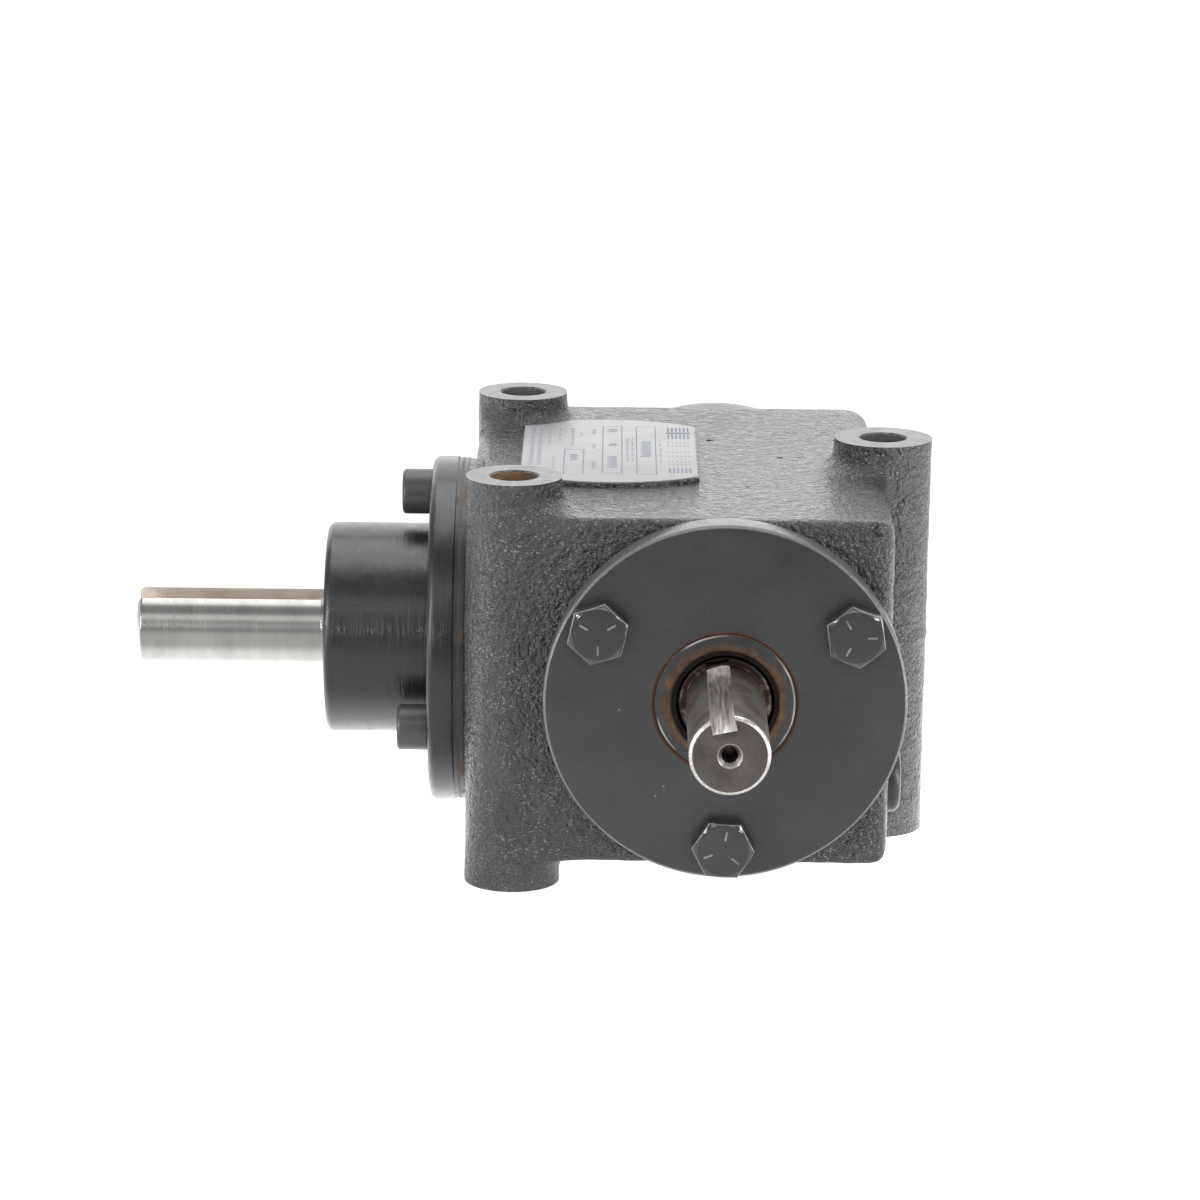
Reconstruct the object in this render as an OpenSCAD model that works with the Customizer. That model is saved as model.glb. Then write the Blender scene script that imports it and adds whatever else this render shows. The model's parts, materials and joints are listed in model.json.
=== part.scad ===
/* [Housing casting] */
// Height over the mounting bosses, which sets both shaft axes at half of it
boss_height = 84.9; // [82:0.1:88]
// Height of the cast box between its top and bottom faces
box_height = 72; // [70:0.5:74]
// Left wall of the box, measured from the output shaft's axis
box_left = 52.4; // [52:0.1:52.8]
// Right wall of the box, measured from the output shaft's axis
box_right = 33.8; // [33.6:0.1:35]
// Front wall of the box, measured from the input shaft's axis
box_front = 50.8; // [50.7:0.1:51.2]
// Rear wall of the box, measured from the input shaft's axis
box_rear = 57; // [56:0.1:58]
// Radius of the long edges that run front to rear
box_edge_radius = 4.7; // [3:0.1:5.5]
// Thickness of the cast walls
wall = 8; // [7.5:0.1:8.5]

/* [Mounting bosses] */
// Diameter of the clearance holes, for 3/8 in bolts
boss_hole_d = 9.525; // [9:0.1:10]
// Outer diameter of the two bosses on the left
boss_d = 19.2; // [18:0.1:20]
// Outer diameter of the boss on the right
right_boss_d = 20.2; // [19:0.1:21]
// Distance of the two left bosses from the output shaft's axis
boss_left = 42.9; // [42:0.1:43.4]
// Distance between the two left bosses
boss_spacing = 85.7; // [85:0.1:86.5]
// How far the middle of the two left bosses lies behind the input shaft's axis
boss_shift = 1.75; // [1:0.05:2.5]

/* [Shafts] */
// Diameter of both shaft extensions, 5/8 in
shaft_d = 15.875; // [15:0.005:16]
// Front end of the output shaft, measured from the input shaft's axis
output_reach = 95.8; // [90:0.1:100]
// Left end of the input shaft, measured from the output shaft's axis
input_reach = 123.2; // [118:0.1:128]
// Width of the keyways in the shaft extensions, 3/16 in
keyway_w = 4.7625; // [4:0.0025:5]
// Depth of the keyways below the top of the shaft
keyway_depth = 3.2; // [2.5:0.1:3.6]
// Angle of the output shaft's keyway from straight up, as the gearbox rests
output_keyway_turn = 12; // [0:1:30]
// Angle of the input shaft's keyway from straight up, towards the front
input_keyway_turn = 14; // [0:1:30]

/* [Caps and carrier] */
// Diameter of the caps and of the carrier's flange, 2-7/8 in
cap_d = 73.025; // [72:0.025:74]
// Thickness of the caps
cap_t = 6.8; // [6:0.1:7.5]
// Diameter of the bolt circles, 2-21/64 in
bolt_circle_d = 59.3; // [58:0.1:60]
// Diameter of the carrier's hub, 1-3/4 in
hub_d = 44.45; // [44.2:0.05:45]
// Front end of the carrier's hub, measured from the output shaft's axis
hub_reach = 83; // [82.8:0.1:84]

/* [Bevel gears] */
// Teeth on each of the two equal gears
teeth = 20; // [18:1:22]
// Module at the large end
module_mm = 2; // [1.8:0.05:2.05]
// Width of the teeth along the pitch cone
face_width = 9; // [7:0.5:9.5]
// Backlash at the pitch circle of each gear
backlash = 0.12; // [0.08:0.01:0.2]

/* [Hidden] */

$fn = 96;
eps = 0.01;
paint = [0.27, 0.275, 0.28];
steel = [0.66, 0.65, 0.62];
dark_steel = [0.36, 0.36, 0.37];

// heights and stations, all from the base plane and the two shaft axes
axis_z = boss_height / 2;
half_box = box_height / 2;
pad_left = 53.3;                    // machined pad under the carrier
boss_r = boss_d / 2;
right_boss_r = right_boss_d / 2;
front_boss_y = boss_shift - boss_spacing / 2;
rear_boss_y = boss_shift + boss_spacing / 2;
cap_bolt_angles = [150, 30, 270];
carrier_screw_angles = [90, -30, 210];
gasket_t = 0.5;

// 1/4 in bolts and screws
bolt_d = 6.35;
bolt_clear_d = 6.8;
bolt_len = 15.875;
hex_across_flats = 11.1125;
hex_head_h = 4.1;
screw_head_d = 9.525;
screw_head_h = 6.35;
screw_len = 19.05;
tap_depth = 12.2;

// tapered roller bearings: bore, outside diameter, width over all, cone width, cup width, roller pitch radius
big_bearing = [19.05, 45.237, 15.494, 16.637, 12.065, 16.1];
small_bearing = [17.4625, 39.878, 13.843, 14.605, 10.668, 14.1];
cup_angle = 13;
cone_angle = 9;
roller_angle = 11;
roller_half_angle = 2;
roller_count = 15;
roller_gap = 0.035;                 // running gap between the rollers and their races
front_cup_y = -48;                  // outer face of the front cup
rear_cup_y = box_rear - 2.8;
inner_cup_x = -47;                  // face of the inner cup on the carrier's rib
outer_cup_x = -58;
cup_pilot_h = 2.8;                  // how far each cap reaches in to its cup

// carrier, measured outwards from the pad
shim_t = 0.5;
carrier_gasket_t = 0.8;
flange_z0 = 2 * carrier_gasket_t + shim_t;
flange_z1 = 7.6;
hub_z = hub_reach - pad_left;
pilot_r = 23.79;
pilot_z = -17.5;
rib_bore_r = 17;

// seals
seal_w = 5.5;
seal_r = 14.2875;
output_journal_r = 9.525;
input_journal_r = 8.334;
seal_running_gap = 0.05;
seal_recess = 0.3;                  // how far each seal sits below its face

// bevel gears with their pitch cones meeting where the shaft axes cross
pitch_r = module_mm * teeth / 2;
cone_distance = pitch_r * sqrt(2);
pressure_angle = 20;
gear_back = 31;                     // rear faces of the hubs, from the crossing
gear_hub_r = 15;

function cos45() = sqrt(0.5);
function involute(a) = tan(a) * 180 / PI - a;

// ---- placing helpers: +Z leaves the housing, +Y stays up -------------------------------------
module on_front() translate([0, -box_front, axis_z]) rotate([90, 0, 0]) children();
module on_rear() translate([0, box_rear, axis_z]) rotate([90, 0, 180]) children();
module on_left() translate([-pad_left, 0, axis_z]) rotate([90, 0, -90]) children();
module on_right(y, z) translate([box_right, y, axis_z + z]) rotate([90, 0, 90]) children();

// along an axis through the crossing: +Z towards +Y, or towards +X
module along_y(y = 0) translate([0, y, axis_z]) rotate([-90, 0, 0]) children();
module along_x(x = 0) translate([x, 0, axis_z]) rotate([0, 90, 0]) children();

module around(angles) for (a = angles) rotate([0, 0, a]) translate([bolt_circle_d / 2, 0, 0]) children();

module ring(outer_r, inner_r, z0, z1) {
    translate([0, 0, z0]) difference() {
        cylinder(r = outer_r, h = z1 - z0);
        translate([0, 0, -1]) cylinder(r = inner_r, h = z1 - z0 + 2);
    }
}

// a turned part from [radius, z] points
module turned(points) rotate_extrude() polygon(points);

// a bar with rounded long edges, centred on X and Z, running from y0 to y1
module rounded_bar(x0, x1, half_h, y0, y1, r) {
    translate([x0 + r, y0, -half_h]) cube([x1 - x0 - 2 * r, y1 - y0, 2 * half_h]);
    translate([x0, y0, -half_h + r]) cube([x1 - x0, y1 - y0, 2 * (half_h - r)]);
    for (x = [x0 + r, x1 - r], z = [-half_h + r, half_h - r])
        translate([x, y0, z]) rotate([-90, 0, 0]) cylinder(r = r, h = y1 - y0);
}

// ---- housing ----------------------------------------------------------------------------------
module boss_places() {
    translate([-boss_left, front_boss_y, 0]) children();
    translate([-boss_left, rear_boss_y, 0]) children();
}

// plan outline: the front left corner is the boss, the other corners are plain radii
module box_plan() {
    front_right_r = 3;
    rear_r = 6;
    translate([-box_left, front_boss_y])
        square([box_left + box_right, box_rear - front_boss_y - rear_r]);
    translate([-boss_left, -box_front])
        square([boss_left + box_right - front_right_r, box_front]);
    translate([box_right - front_right_r, -box_front + front_right_r]) circle(r = front_right_r);
    translate([0, -box_front + front_right_r]) square([box_right, 20]);
    translate([-box_left + rear_r, 0]) square([box_left + box_right - 2 * rear_r, box_rear]);
    for (x = [-box_left + rear_r, box_right - rear_r]) translate([x, box_rear - rear_r]) circle(r = rear_r);
    translate([-boss_left, front_boss_y]) circle(r = boss_r);
}

module label_outline(inset = 0) {
    label_w = 37.6;
    label_x = -23.8;
    side_front = -16.5;
    side_rear = 34;
    bow = 6.5;
    bow_r = (pow(label_w / 2, 2) + bow * bow) / (2 * bow);
    difference() {
        intersection() {
            translate([label_x - label_w / 2 + inset, side_front - bow])
                square([label_w - 2 * inset, side_rear - side_front + 2 * bow]);
            translate([label_x, side_front - bow + bow_r + inset]) union() {
                circle(r = bow_r);
                translate([-label_w, 0]) square([2 * label_w, 80]);
            }
            translate([label_x, side_rear + bow - bow_r - inset]) union() {
                circle(r = bow_r);
                translate([-label_w, -80]) square([2 * label_w, 80]);
            }
        }
        translate([-boss_left, rear_boss_y]) circle(r = boss_r + 0.4);
    }
}

label_pad_h = 0.9;
label_t = 0.3;
plug_places = [[-35, -22], [32, 20]];   // y and z of the drain and fill plugs on the right wall
plug_r = 6.8;
plug_hole_r = 6.6;
bearing_wall_r = 28.5;              // outside of the cast rings that hold the bearings
screw_wall_r = 6.5;
front_ring_y = -35.4;
rear_ring_y = 41.8;
left_ring_x = -38.5;

module cavity() {
    difference() {
        translate([-box_left + wall, -box_front + wall, axis_z - half_box + wall])
            cube([box_left + box_right - 2 * wall, box_front + box_rear - 2 * wall, box_height - 2 * wall]);
        on_front() tapped_ring(bearing_wall_r, box_front + front_ring_y, cap_bolt_angles);
        on_rear() tapped_ring(bearing_wall_r, box_rear - rear_ring_y, cap_bolt_angles);
        on_left() tapped_ring(pilot_r + 5, pad_left + left_ring_x, carrier_screw_angles);
        boss_places() cylinder(r = boss_r, h = boss_height);
        translate([box_right, 0, 0]) cylinder(r = right_boss_r, h = boss_height);
    }
}

// ring and screw columns that reach into the housing from a wall
module tapped_ring(r, depth, angles) {
    translate([0, 0, -depth]) {
        cylinder(r = r, h = depth);
        around(angles) cylinder(r = screw_wall_r, h = depth);
    }
}

module tap_holes(angles) around(angles) translate([0, 0, -tap_depth]) cylinder(d = bolt_d, h = tap_depth + 1);

module housing() color(paint) difference() {
    union() {
        intersection() {
            translate([0, 0, axis_z])
                rounded_bar(-box_left, box_right, half_box, -box_front, box_rear, box_edge_radius);
            linear_extrude(height = boss_height) box_plan();
        }
        boss_places() cylinder(r = boss_r, h = boss_height);
        translate([box_right, 0, 0]) cylinder(r = right_boss_r, h = boss_height);
        on_left() translate([0, 0, -2]) cylinder(r = half_box, h = 2);
        translate([0, 0, axis_z + half_box - 1]) linear_extrude(height = label_pad_h + 1) label_outline();
    }
    cavity();
    boss_places() translate([0, 0, -1]) cylinder(d = boss_hole_d, h = boss_height + 2);
    translate([box_right, 0, -1]) cylinder(d = boss_hole_d, h = boss_height + 2);
    on_front() translate([0, 0, -20]) cylinder(d = big_bearing[1], h = 21);
    on_rear() translate([0, 0, -20]) cylinder(d = big_bearing[1], h = 21);
    on_left() translate([0, 0, -18]) cylinder(r = pilot_r + 0.02, h = 19);
    on_front() tap_holes(cap_bolt_angles);
    on_rear() tap_holes(cap_bolt_angles);
    on_left() tap_holes(carrier_screw_angles);
    for (p = plug_places)
        on_right(p[0], p[1]) translate([0, 0, -wall - 1]) cylinder(r = plug_hole_r, h = wall + 2);
}

module nameplate() color([0.86, 0.87, 0.88])
    translate([0, 0, axis_z + half_box + label_pad_h]) linear_extrude(height = label_t) label_outline(0.4);

// pipe plug with a rounded rim and a hexagon socket
module pipe_plug() color(dark_steel) difference() {
    head_h = 3;
    rim = 1;
    union() {
        turned([[0, -wall], [plug_hole_r - 0.4, -wall], [plug_hole_r, -wall + 1.5], [plug_hole_r, 0],
                [plug_r, 0], [plug_r, head_h - rim], [plug_r - rim, head_h], [0, head_h]]);
        translate([0, 0, head_h - rim]) rotate_extrude() translate([plug_r - rim, 0]) circle(r = rim);
    }
    translate([0, 0, -2]) cylinder(d = 7.33, h = 8, $fn = 6);
}

module drain_plug() on_right(plug_places[0][0], plug_places[0][1]) pipe_plug();
module fill_plug() on_right(plug_places[1][0], plug_places[1][1]) pipe_plug();

// ---- caps and carrier ---------------------------------------------------------------------------
module sheet_ring(inner_r, z0, z1, angles) difference() {
    ring(cap_d / 2 - 0.25, inner_r, z0, z1);
    around(angles) translate([0, 0, z0 - 1]) cylinder(d = bolt_clear_d, h = z1 - z0 + 2);
}

module cap_gasket() color([0.3, 0.26, 0.2])
    sheet_ring(big_bearing[1] / 2 + 0.3, 0, gasket_t, cap_bolt_angles);
module front_gasket() on_front() cap_gasket();
module rear_gasket() on_rear() cap_gasket();

// flange with a chamfered rim and a pilot that holds the bearing cup
module cap_body() {
    rim = 0.6;
    pilot_outer_r = big_bearing[1] / 2 - 0.03;
    pilot_inner_r = 19;
    difference() {
        turned([[0, gasket_t], [cap_d / 2, gasket_t], [cap_d / 2, gasket_t + cap_t - rim],
                [cap_d / 2 - rim, gasket_t + cap_t], [0, gasket_t + cap_t]]);
        around(cap_bolt_angles) cylinder(d = bolt_clear_d, h = 20, center = true);
    }
    ring(pilot_outer_r, pilot_inner_r, -cup_pilot_h, gasket_t + eps);
}

module front_cap() color(paint) on_front() difference() {
    seal_seat = gasket_t + cap_t - seal_w - seal_recess;
    mouth = 0.45;
    cap_body();
    translate([0, 0, seal_seat]) cylinder(r = seal_r, h = seal_w + 1);
    translate([0, 0, gasket_t + cap_t - mouth]) cylinder(r1 = seal_r, r2 = seal_r + mouth, h = mouth + eps);
    translate([0, 0, -5]) cylinder(r = 11.5, h = 12);
}

module rear_cap() color(paint) on_rear() cap_body();

// hexagon head bolt: the head's top is chamfered, and three marks stand on it
module hex_bolt(turn) rotate([0, 0, turn]) {
    corner_r = hex_across_flats / sqrt(3);
    intersection() {
        cylinder(r = corner_r, h = hex_head_h, $fn = 6);
        turned([[0, 0], [corner_r, 0], [corner_r, hex_head_h - 0.7], [hex_across_flats / 2 - 0.2, hex_head_h],
                [0, hex_head_h]]);
    }
    for (a = [30, 150, 270]) rotate([0, 0, a])
        translate([2.2, -0.22, hex_head_h - 0.1]) cube([2.2, 0.44, 0.22]);
    translate([0, 0, -bolt_len]) cylinder(d = bolt_d, h = bolt_len + eps);
}

module cap_bolts(turns) color(paint) for (i = [0:2])
    rotate([0, 0, cap_bolt_angles[i]]) translate([bolt_circle_d / 2, 0, gasket_t + cap_t])
        rotate([0, 0, -cap_bolt_angles[i]]) hex_bolt(turns[i]);

module front_cap_bolts() on_front() cap_bolts([17.7, 38, -3]);
module rear_cap_bolts() on_rear() cap_bolts([8, -14, 25]);

module housing_gasket() color([0.36, 0.25, 0.17]) on_left()
    sheet_ring(pilot_r + 0.3, 0, carrier_gasket_t, carrier_screw_angles);
module shim() color(steel) on_left()
    sheet_ring(pilot_r + 0.3, carrier_gasket_t, carrier_gasket_t + shim_t, carrier_screw_angles);
module carrier_gasket() color([0.2, 0.19, 0.18]) on_left()
    sheet_ring(pilot_r + 0.3, carrier_gasket_t + shim_t, flange_z0, carrier_screw_angles);

// flanged sleeve that holds both input bearings and the input seal
module input_carrier() color(paint) on_left() {
    flange_rim = 1.2;
    hub_rim = 1;
    bore_r = small_bearing[1] / 2;
    rib_z0 = -pad_left - inner_cup_x;
    rib_z1 = -pad_left - outer_cup_x;
    difference() {
        turned([[0, pilot_z], [pilot_r, pilot_z], [pilot_r, flange_z0], [cap_d / 2, flange_z0],
                [cap_d / 2, flange_z1 - flange_rim], [cap_d / 2 - flange_rim, flange_z1],
                [hub_d / 2, flange_z1], [hub_d / 2, hub_z - hub_rim],
                [hub_d / 2 - hub_rim, hub_z], [0, hub_z]]);
        translate([0, 0, pilot_z - 1]) cylinder(r = bore_r, h = rib_z0 - pilot_z + 1);
        translate([0, 0, rib_z0 - 1]) cylinder(r = rib_bore_r, h = rib_z1 - rib_z0 + 2);
        translate([0, 0, rib_z1]) cylinder(r = bore_r, h = hub_z);
        around(carrier_screw_angles) cylinder(d = bolt_clear_d, h = 20, center = true);
    }
}

// socket head cap screw
module cap_screw() {
    rim = 0.4;
    difference() {
        turned([[0, -screw_len], [bolt_d / 2, -screw_len], [bolt_d / 2, 0], [screw_head_d / 2, 0],
                [screw_head_d / 2, screw_head_h - rim], [screw_head_d / 2 - rim, screw_head_h],
                [0, screw_head_h]]);
        translate([0, 0, screw_head_h - 3]) cylinder(d = 5.5, h = 4, $fn = 6);
    }
}

module carrier_screws() color(paint) on_left() around(carrier_screw_angles)
    translate([0, 0, flange_z1]) cap_screw();

// ---- oil seals ----------------------------------------------------------------------------------
// z = 0 is the outer face; the lip faces inwards and the garter spring lies in its back
module seal_case(outer_r, inner_r, w) turned([[inner_r, -0.8], [outer_r - 0.8, -0.8], [outer_r - 0.8, -w],
    [outer_r, -w], [outer_r, 0], [inner_r, 0]]);

spring_r = 0.6;
module seal_lip(case_r, shaft_r, w) {
    gap = seal_running_gap;
    difference() {
        turned([[case_r, 0], [case_r, -0.8], [case_r + 0.4, -0.8], [case_r + 0.4, -1.8],
                [shaft_r + 2, -1.8], [shaft_r + 1.9, -w + 1], [shaft_r + 0.9, -w + 0.3],
                [shaft_r + gap, -w + 1.6], [shaft_r + 0.5, -2], [shaft_r + 0.35, 0]]);
        translate([0, 0, -w + 1.8]) rotate_extrude() translate([shaft_r + 1.9, 0]) circle(r = spring_r);
    }
}

module seal_spring(shaft_r, w) translate([0, 0, -w + 1.8]) rotate_extrude()
    translate([shaft_r + 1.9, 0]) circle(r = spring_r);

output_lip_r = 10.65;
input_lip_r = 10.3;
module on_output_seal() on_front() translate([0, 0, gasket_t + cap_t - seal_recess]) children();
module on_input_seal() on_left() translate([0, 0, hub_z - seal_recess]) children();

module output_seal_case() color([0.42, 0.44, 0.46]) on_output_seal() seal_case(seal_r, output_lip_r, seal_w);
module output_seal_lip() color([0.07, 0.07, 0.07]) on_output_seal()
    seal_lip(output_lip_r, output_journal_r, seal_w);
module output_seal_spring() color(steel) on_output_seal() seal_spring(output_journal_r, seal_w);
module input_seal_case() color([0.42, 0.44, 0.46]) on_input_seal()
    seal_case(small_bearing[1] / 2, input_lip_r, seal_w);
module input_seal_lip() color([0.07, 0.07, 0.07]) on_input_seal()
    seal_lip(input_lip_r, input_journal_r, seal_w);
module input_seal_spring() color(steel) on_input_seal() seal_spring(input_journal_r, seal_w);

// ---- tapered roller bearings --------------------------------------------------------------------
// z = 0 is the cup's back face, and the cone's back face is at +z. Every cone surface shares one apex.
function roller_scale(b) = b[5] / 16.1;
function roller_mid_z(b) = 6.6 * roller_scale(b);
function apex(b) = b[5] / tan(roller_angle) - roller_mid_z(b);
function race_r(b, z, angle) = (z + apex(b)) * tan(angle);
function roller_len(b) = 9.6 * roller_scale(b);

module bearing_cup(b) color(steel) turned([
    [race_r(b, 0, cup_angle), 0], [b[1] / 2, 0], [b[1] / 2, b[4]], [race_r(b, b[4], cup_angle), b[4]]]);

module bearing_cone(b) color(steel) {
    s = roller_scale(b);
    front = b[2] - b[3];
    small_rib_z = 1.1 * s;
    big_rib_z = 12.15 * s;
    turned([[b[0] / 2, front], [race_r(b, 0, cone_angle) + 0.9 * s, front],
            [race_r(b, 0, cone_angle) + 0.9 * s, small_rib_z],
            [race_r(b, small_rib_z, cone_angle), small_rib_z],
            [race_r(b, big_rib_z, cone_angle), big_rib_z],
            [race_r(b, big_rib_z, cone_angle) + 1.7 * s, big_rib_z],
            [race_r(b, big_rib_z, cone_angle) + 1.7 * s, b[2]], [b[0] / 2, b[2]]]);
}

// one roller, or the pocket around it when grown
module roller(b, grow) {
    distance = b[5] / sin(roller_angle);
    l0 = distance - roller_len(b) / 2 - grow;
    l1 = distance + roller_len(b) / 2 + grow;
    translate([0, 0, -apex(b)]) rotate([0, roller_angle, 0]) translate([0, 0, l0])
        cylinder(r1 = l0 * tan(roller_half_angle) + grow, r2 = l1 * tan(roller_half_angle) + grow,
                 h = l1 - l0);
}

module around_bearing() for (i = [0:roller_count - 1]) rotate([0, 0, i * 360 / roller_count]) children();

module bearing_rollers(b) color(steel) around_bearing() roller(b, -roller_gap);

module bearing_cage(b) color([0.5, 0.48, 0.42]) difference() {
    s = roller_scale(b);
    z0 = 0.1 * s;
    z1 = 12.6 * s;
    inner = 0.35 * s;
    thick = 0.9 * s;
    lip_r = race_r(b, 0, cone_angle) + 1.5 * s;
    turned([[lip_r, z0], [race_r(b, z0, roller_angle) + inner + thick, z0],
            [race_r(b, z1, roller_angle) + inner + thick, z1], [race_r(b, z1, roller_angle) + inner, z1],
            [race_r(b, z0 + 0.8 * s, roller_angle) + inner, z0 + 0.8 * s], [lip_r, z0 + 0.8 * s]]);
    around_bearing() roller(b, 0.12);
}

module at_front_bearing() along_y(front_cup_y) children();
module at_rear_bearing() translate([0, rear_cup_y, axis_z]) rotate([90, 0, 0]) children();
module at_inner_bearing() along_x(inner_cup_x) children();
module at_outer_bearing() translate([outer_cup_x, 0, axis_z]) rotate([0, -90, 0]) children();

module front_bearing_cup() at_front_bearing() bearing_cup(big_bearing);
module front_bearing_cone() at_front_bearing() bearing_cone(big_bearing);
module front_bearing_cage() at_front_bearing() bearing_cage(big_bearing);
module front_bearing_rollers() at_front_bearing() bearing_rollers(big_bearing);
module rear_bearing_cup() at_rear_bearing() bearing_cup(big_bearing);
module rear_bearing_cone() at_rear_bearing() bearing_cone(big_bearing);
module rear_bearing_cage() at_rear_bearing() bearing_cage(big_bearing);
module rear_bearing_rollers() at_rear_bearing() bearing_rollers(big_bearing);
module inner_bearing_cup() at_inner_bearing() bearing_cup(small_bearing);
module inner_bearing_cone() at_inner_bearing() bearing_cone(small_bearing);
module inner_bearing_cage() at_inner_bearing() bearing_cage(small_bearing);
module inner_bearing_rollers() at_inner_bearing() bearing_rollers(small_bearing);
module outer_bearing_cup() at_outer_bearing() bearing_cup(small_bearing);
module outer_bearing_cone() at_outer_bearing() bearing_cone(small_bearing);
module outer_bearing_cage() at_outer_bearing() bearing_cage(small_bearing);
module outer_bearing_rollers() at_outer_bearing() bearing_rollers(small_bearing);

// ---- bevel gears --------------------------------------------------------------------------------
// Straight teeth. On the back cone each tooth is an involute of a larger, flat gear.
flat_pitch_r = pitch_r / cos45();
flat_base_r = flat_pitch_r * cos(pressure_angle);
flat_root_r = flat_pitch_r - 1.25 * module_mm;
flat_tip_r = flat_pitch_r + module_mm;
tooth_half = (PI * module_mm / 2 - backlash) / 2 / flat_pitch_r * 180 / PI;

// half of a tooth's angle on the flat gear at radius r
function half_angle(r) = r <= flat_base_r
    ? tooth_half + involute(pressure_angle)
    : tooth_half + involute(pressure_angle) - involute(acos(flat_base_r / r));

flank_steps = 5;
function flank_r(i) = flat_base_r + (flat_tip_r - flat_base_r) * i / flank_steps;
// one side of a tooth as [flat radius, angle about the gear's axis], from inside the blank to the tip
tooth_side = concat([[flat_root_r - 0.8, half_angle(0) / cos45()]],
    [for (i = [0:flank_steps]) [flank_r(i), half_angle(flank_r(i)) / cos45()]]);
inner_end = (cone_distance - face_width) / cone_distance;
blank_small_end = inner_end * 0.975;     // the blank runs a little past both ends of the teeth
blank_large_end = 1.012;

// a point of the back cone, with the crossing of the shaft axes as origin and the gear's axis as Z
function on_cone(p, k) = [
    k * p[0] * cos45() * cos(p[1]), k * p[0] * cos45() * sin(p[1]),
    k * (cone_distance / cos45() - p[0] * cos45())];

// a tooth that narrows towards the crossing of the axes, its foot sunk in the blank
module tooth() {
    n = len(tooth_side);
    // points run from foot to tip on the left, then on the right, at the large end and then the small end
    polyhedron(
        points = [for (k = [1, inner_end], side = [1, -1], p = tooth_side) on_cone([p[0], side * p[1]], k)],
        faces = concat(
            [for (i = [0:n - 2]) [i, i + 1, n + i + 1, n + i]],
            [for (i = [0:n - 2]) [2 * n + i, 3 * n + i, 3 * n + i + 1, 2 * n + i + 1]],
            [for (i = [0:n - 2]) [i, 2 * n + i, 2 * n + i + 1, i + 1]],
            [for (i = [0:n - 2]) [n + i, n + i + 1, 3 * n + i + 1, 3 * n + i]],
            [[0, n, 3 * n, 2 * n], [n - 1, 3 * n - 1, 4 * n - 1, 2 * n - 1]]));
}

// gear with its back along +Z
gear_front = on_cone([flat_root_r, 0], blank_small_end)[2];
module bevel_gear(bore_d, phase, back, key_w) difference() {
    small = on_cone([flat_root_r, 0], blank_small_end);
    large = on_cone([flat_root_r, 0], blank_large_end);
    union() {
        turned([[0, small[2]], [small[0], small[2]], [large[0], large[2]],
                [gear_hub_r, large[2] + large[0] - gear_hub_r], [gear_hub_r, back], [0, back]]);
        for (i = [0:teeth - 1]) rotate([0, 0, i * 360 / teeth + phase]) tooth();
    }
    translate([0, 0, -1]) cylinder(d = bore_d, h = back + 2);
    translate([0, -key_w / 2, -1]) cube([bore_d / 2 + key_w / 2, key_w, back + 2]);
}

gear_key_w = 3.175;
pinion_back = -(inner_cup_x + small_bearing[2]);
module output_gear() color(dark_steel) along_y() bevel_gear(2 * output_journal_r, 0, gear_back, gear_key_w);
module pinion() color(dark_steel) translate([0, 0, axis_z]) rotate([0, -90, 0])
    bevel_gear(shaft_d, 180 / teeth, pinion_back, gear_key_w);

module key_block(bore_d, from, to) translate([bore_d / 2 - gear_key_w / 2, -gear_key_w / 2, from])
    cube([gear_key_w, gear_key_w, to - from]);

gear_key_from = 16;
gear_key_to = 30;
module gear_key() color(steel) along_y() key_block(2 * output_journal_r, gear_key_from, gear_key_to);
module pinion_key() color(steel) translate([0, 0, axis_z]) rotate([0, -90, 0])
    key_block(shaft_d, gear_key_from, gear_key_to);

module gear_spacer() color(steel) along_y()
    ring(output_journal_r + 2.6, output_journal_r, gear_back, rear_cup_y - big_bearing[2]);

// ---- shafts -------------------------------------------------------------------------------------
cutter_r = 19;                          // radius of the slot cutter both keyways were cut with
// keyway for a sled runner cutter: open at the shaft's end, and it runs out on a radius
module keyway(length, run_out_r) {
    depth = keyway_depth;
    floor_y = shaft_d / 2 - depth;
    translate([-keyway_w / 2, floor_y, -1]) cube([keyway_w, depth + 2, length + 1]);
    intersection() {
        translate([-keyway_w / 2, floor_y + run_out_r, length]) rotate([0, 90, 0])
            cylinder(r = run_out_r, h = keyway_w);
        translate([-keyway_w / 2, floor_y, length - eps]) cube([keyway_w, depth + 2, run_out_r]);
    }
}

// centre drilling in a shaft's end
module centre_hole() {
    translate([0, 0, -1]) cylinder(r = 1.8, h = 8);
    translate([0, 0, -eps]) cylinder(r1 = 2.8, r2 = 1.7, h = 1.9);
}

collar_r = 11;
module output_shaft() color(steel) {
    end_y = 55.9;
    chamfer = 0.8;
    step_y = -57.8;
    shoulder_y = front_cup_y + big_bearing[2];
    seam_turn = 22.5;                   // puts the turned surfaces' seam clear of the keyway
    difference() {
        along_y() rotate([0, 0, -seam_turn]) turned([[0, -output_reach],
            [shaft_d / 2 - chamfer, -output_reach], [shaft_d / 2, -output_reach + chamfer],
            [shaft_d / 2, step_y], [output_journal_r - 0.5, step_y], [output_journal_r, step_y + 0.5],
            [output_journal_r, shoulder_y], [collar_r, shoulder_y], [collar_r, gear_front],
            [output_journal_r, gear_front], [output_journal_r, end_y - chamfer],
            [output_journal_r - chamfer, end_y], [0, end_y]]);
        translate([0, -output_reach, axis_z]) rotate([0, -output_keyway_turn, 0]) rotate([-90, 180, 0])
            keyway(27.2, cutter_r);
        translate([0, -output_reach, axis_z]) rotate([-90, 0, 0]) centre_hole();
        translate([0, end_y, axis_z]) rotate([90, 0, 0]) centre_hole();
        along_y() key_block(2 * output_journal_r, gear_key_from, gear_key_to);
    }
}

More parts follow.
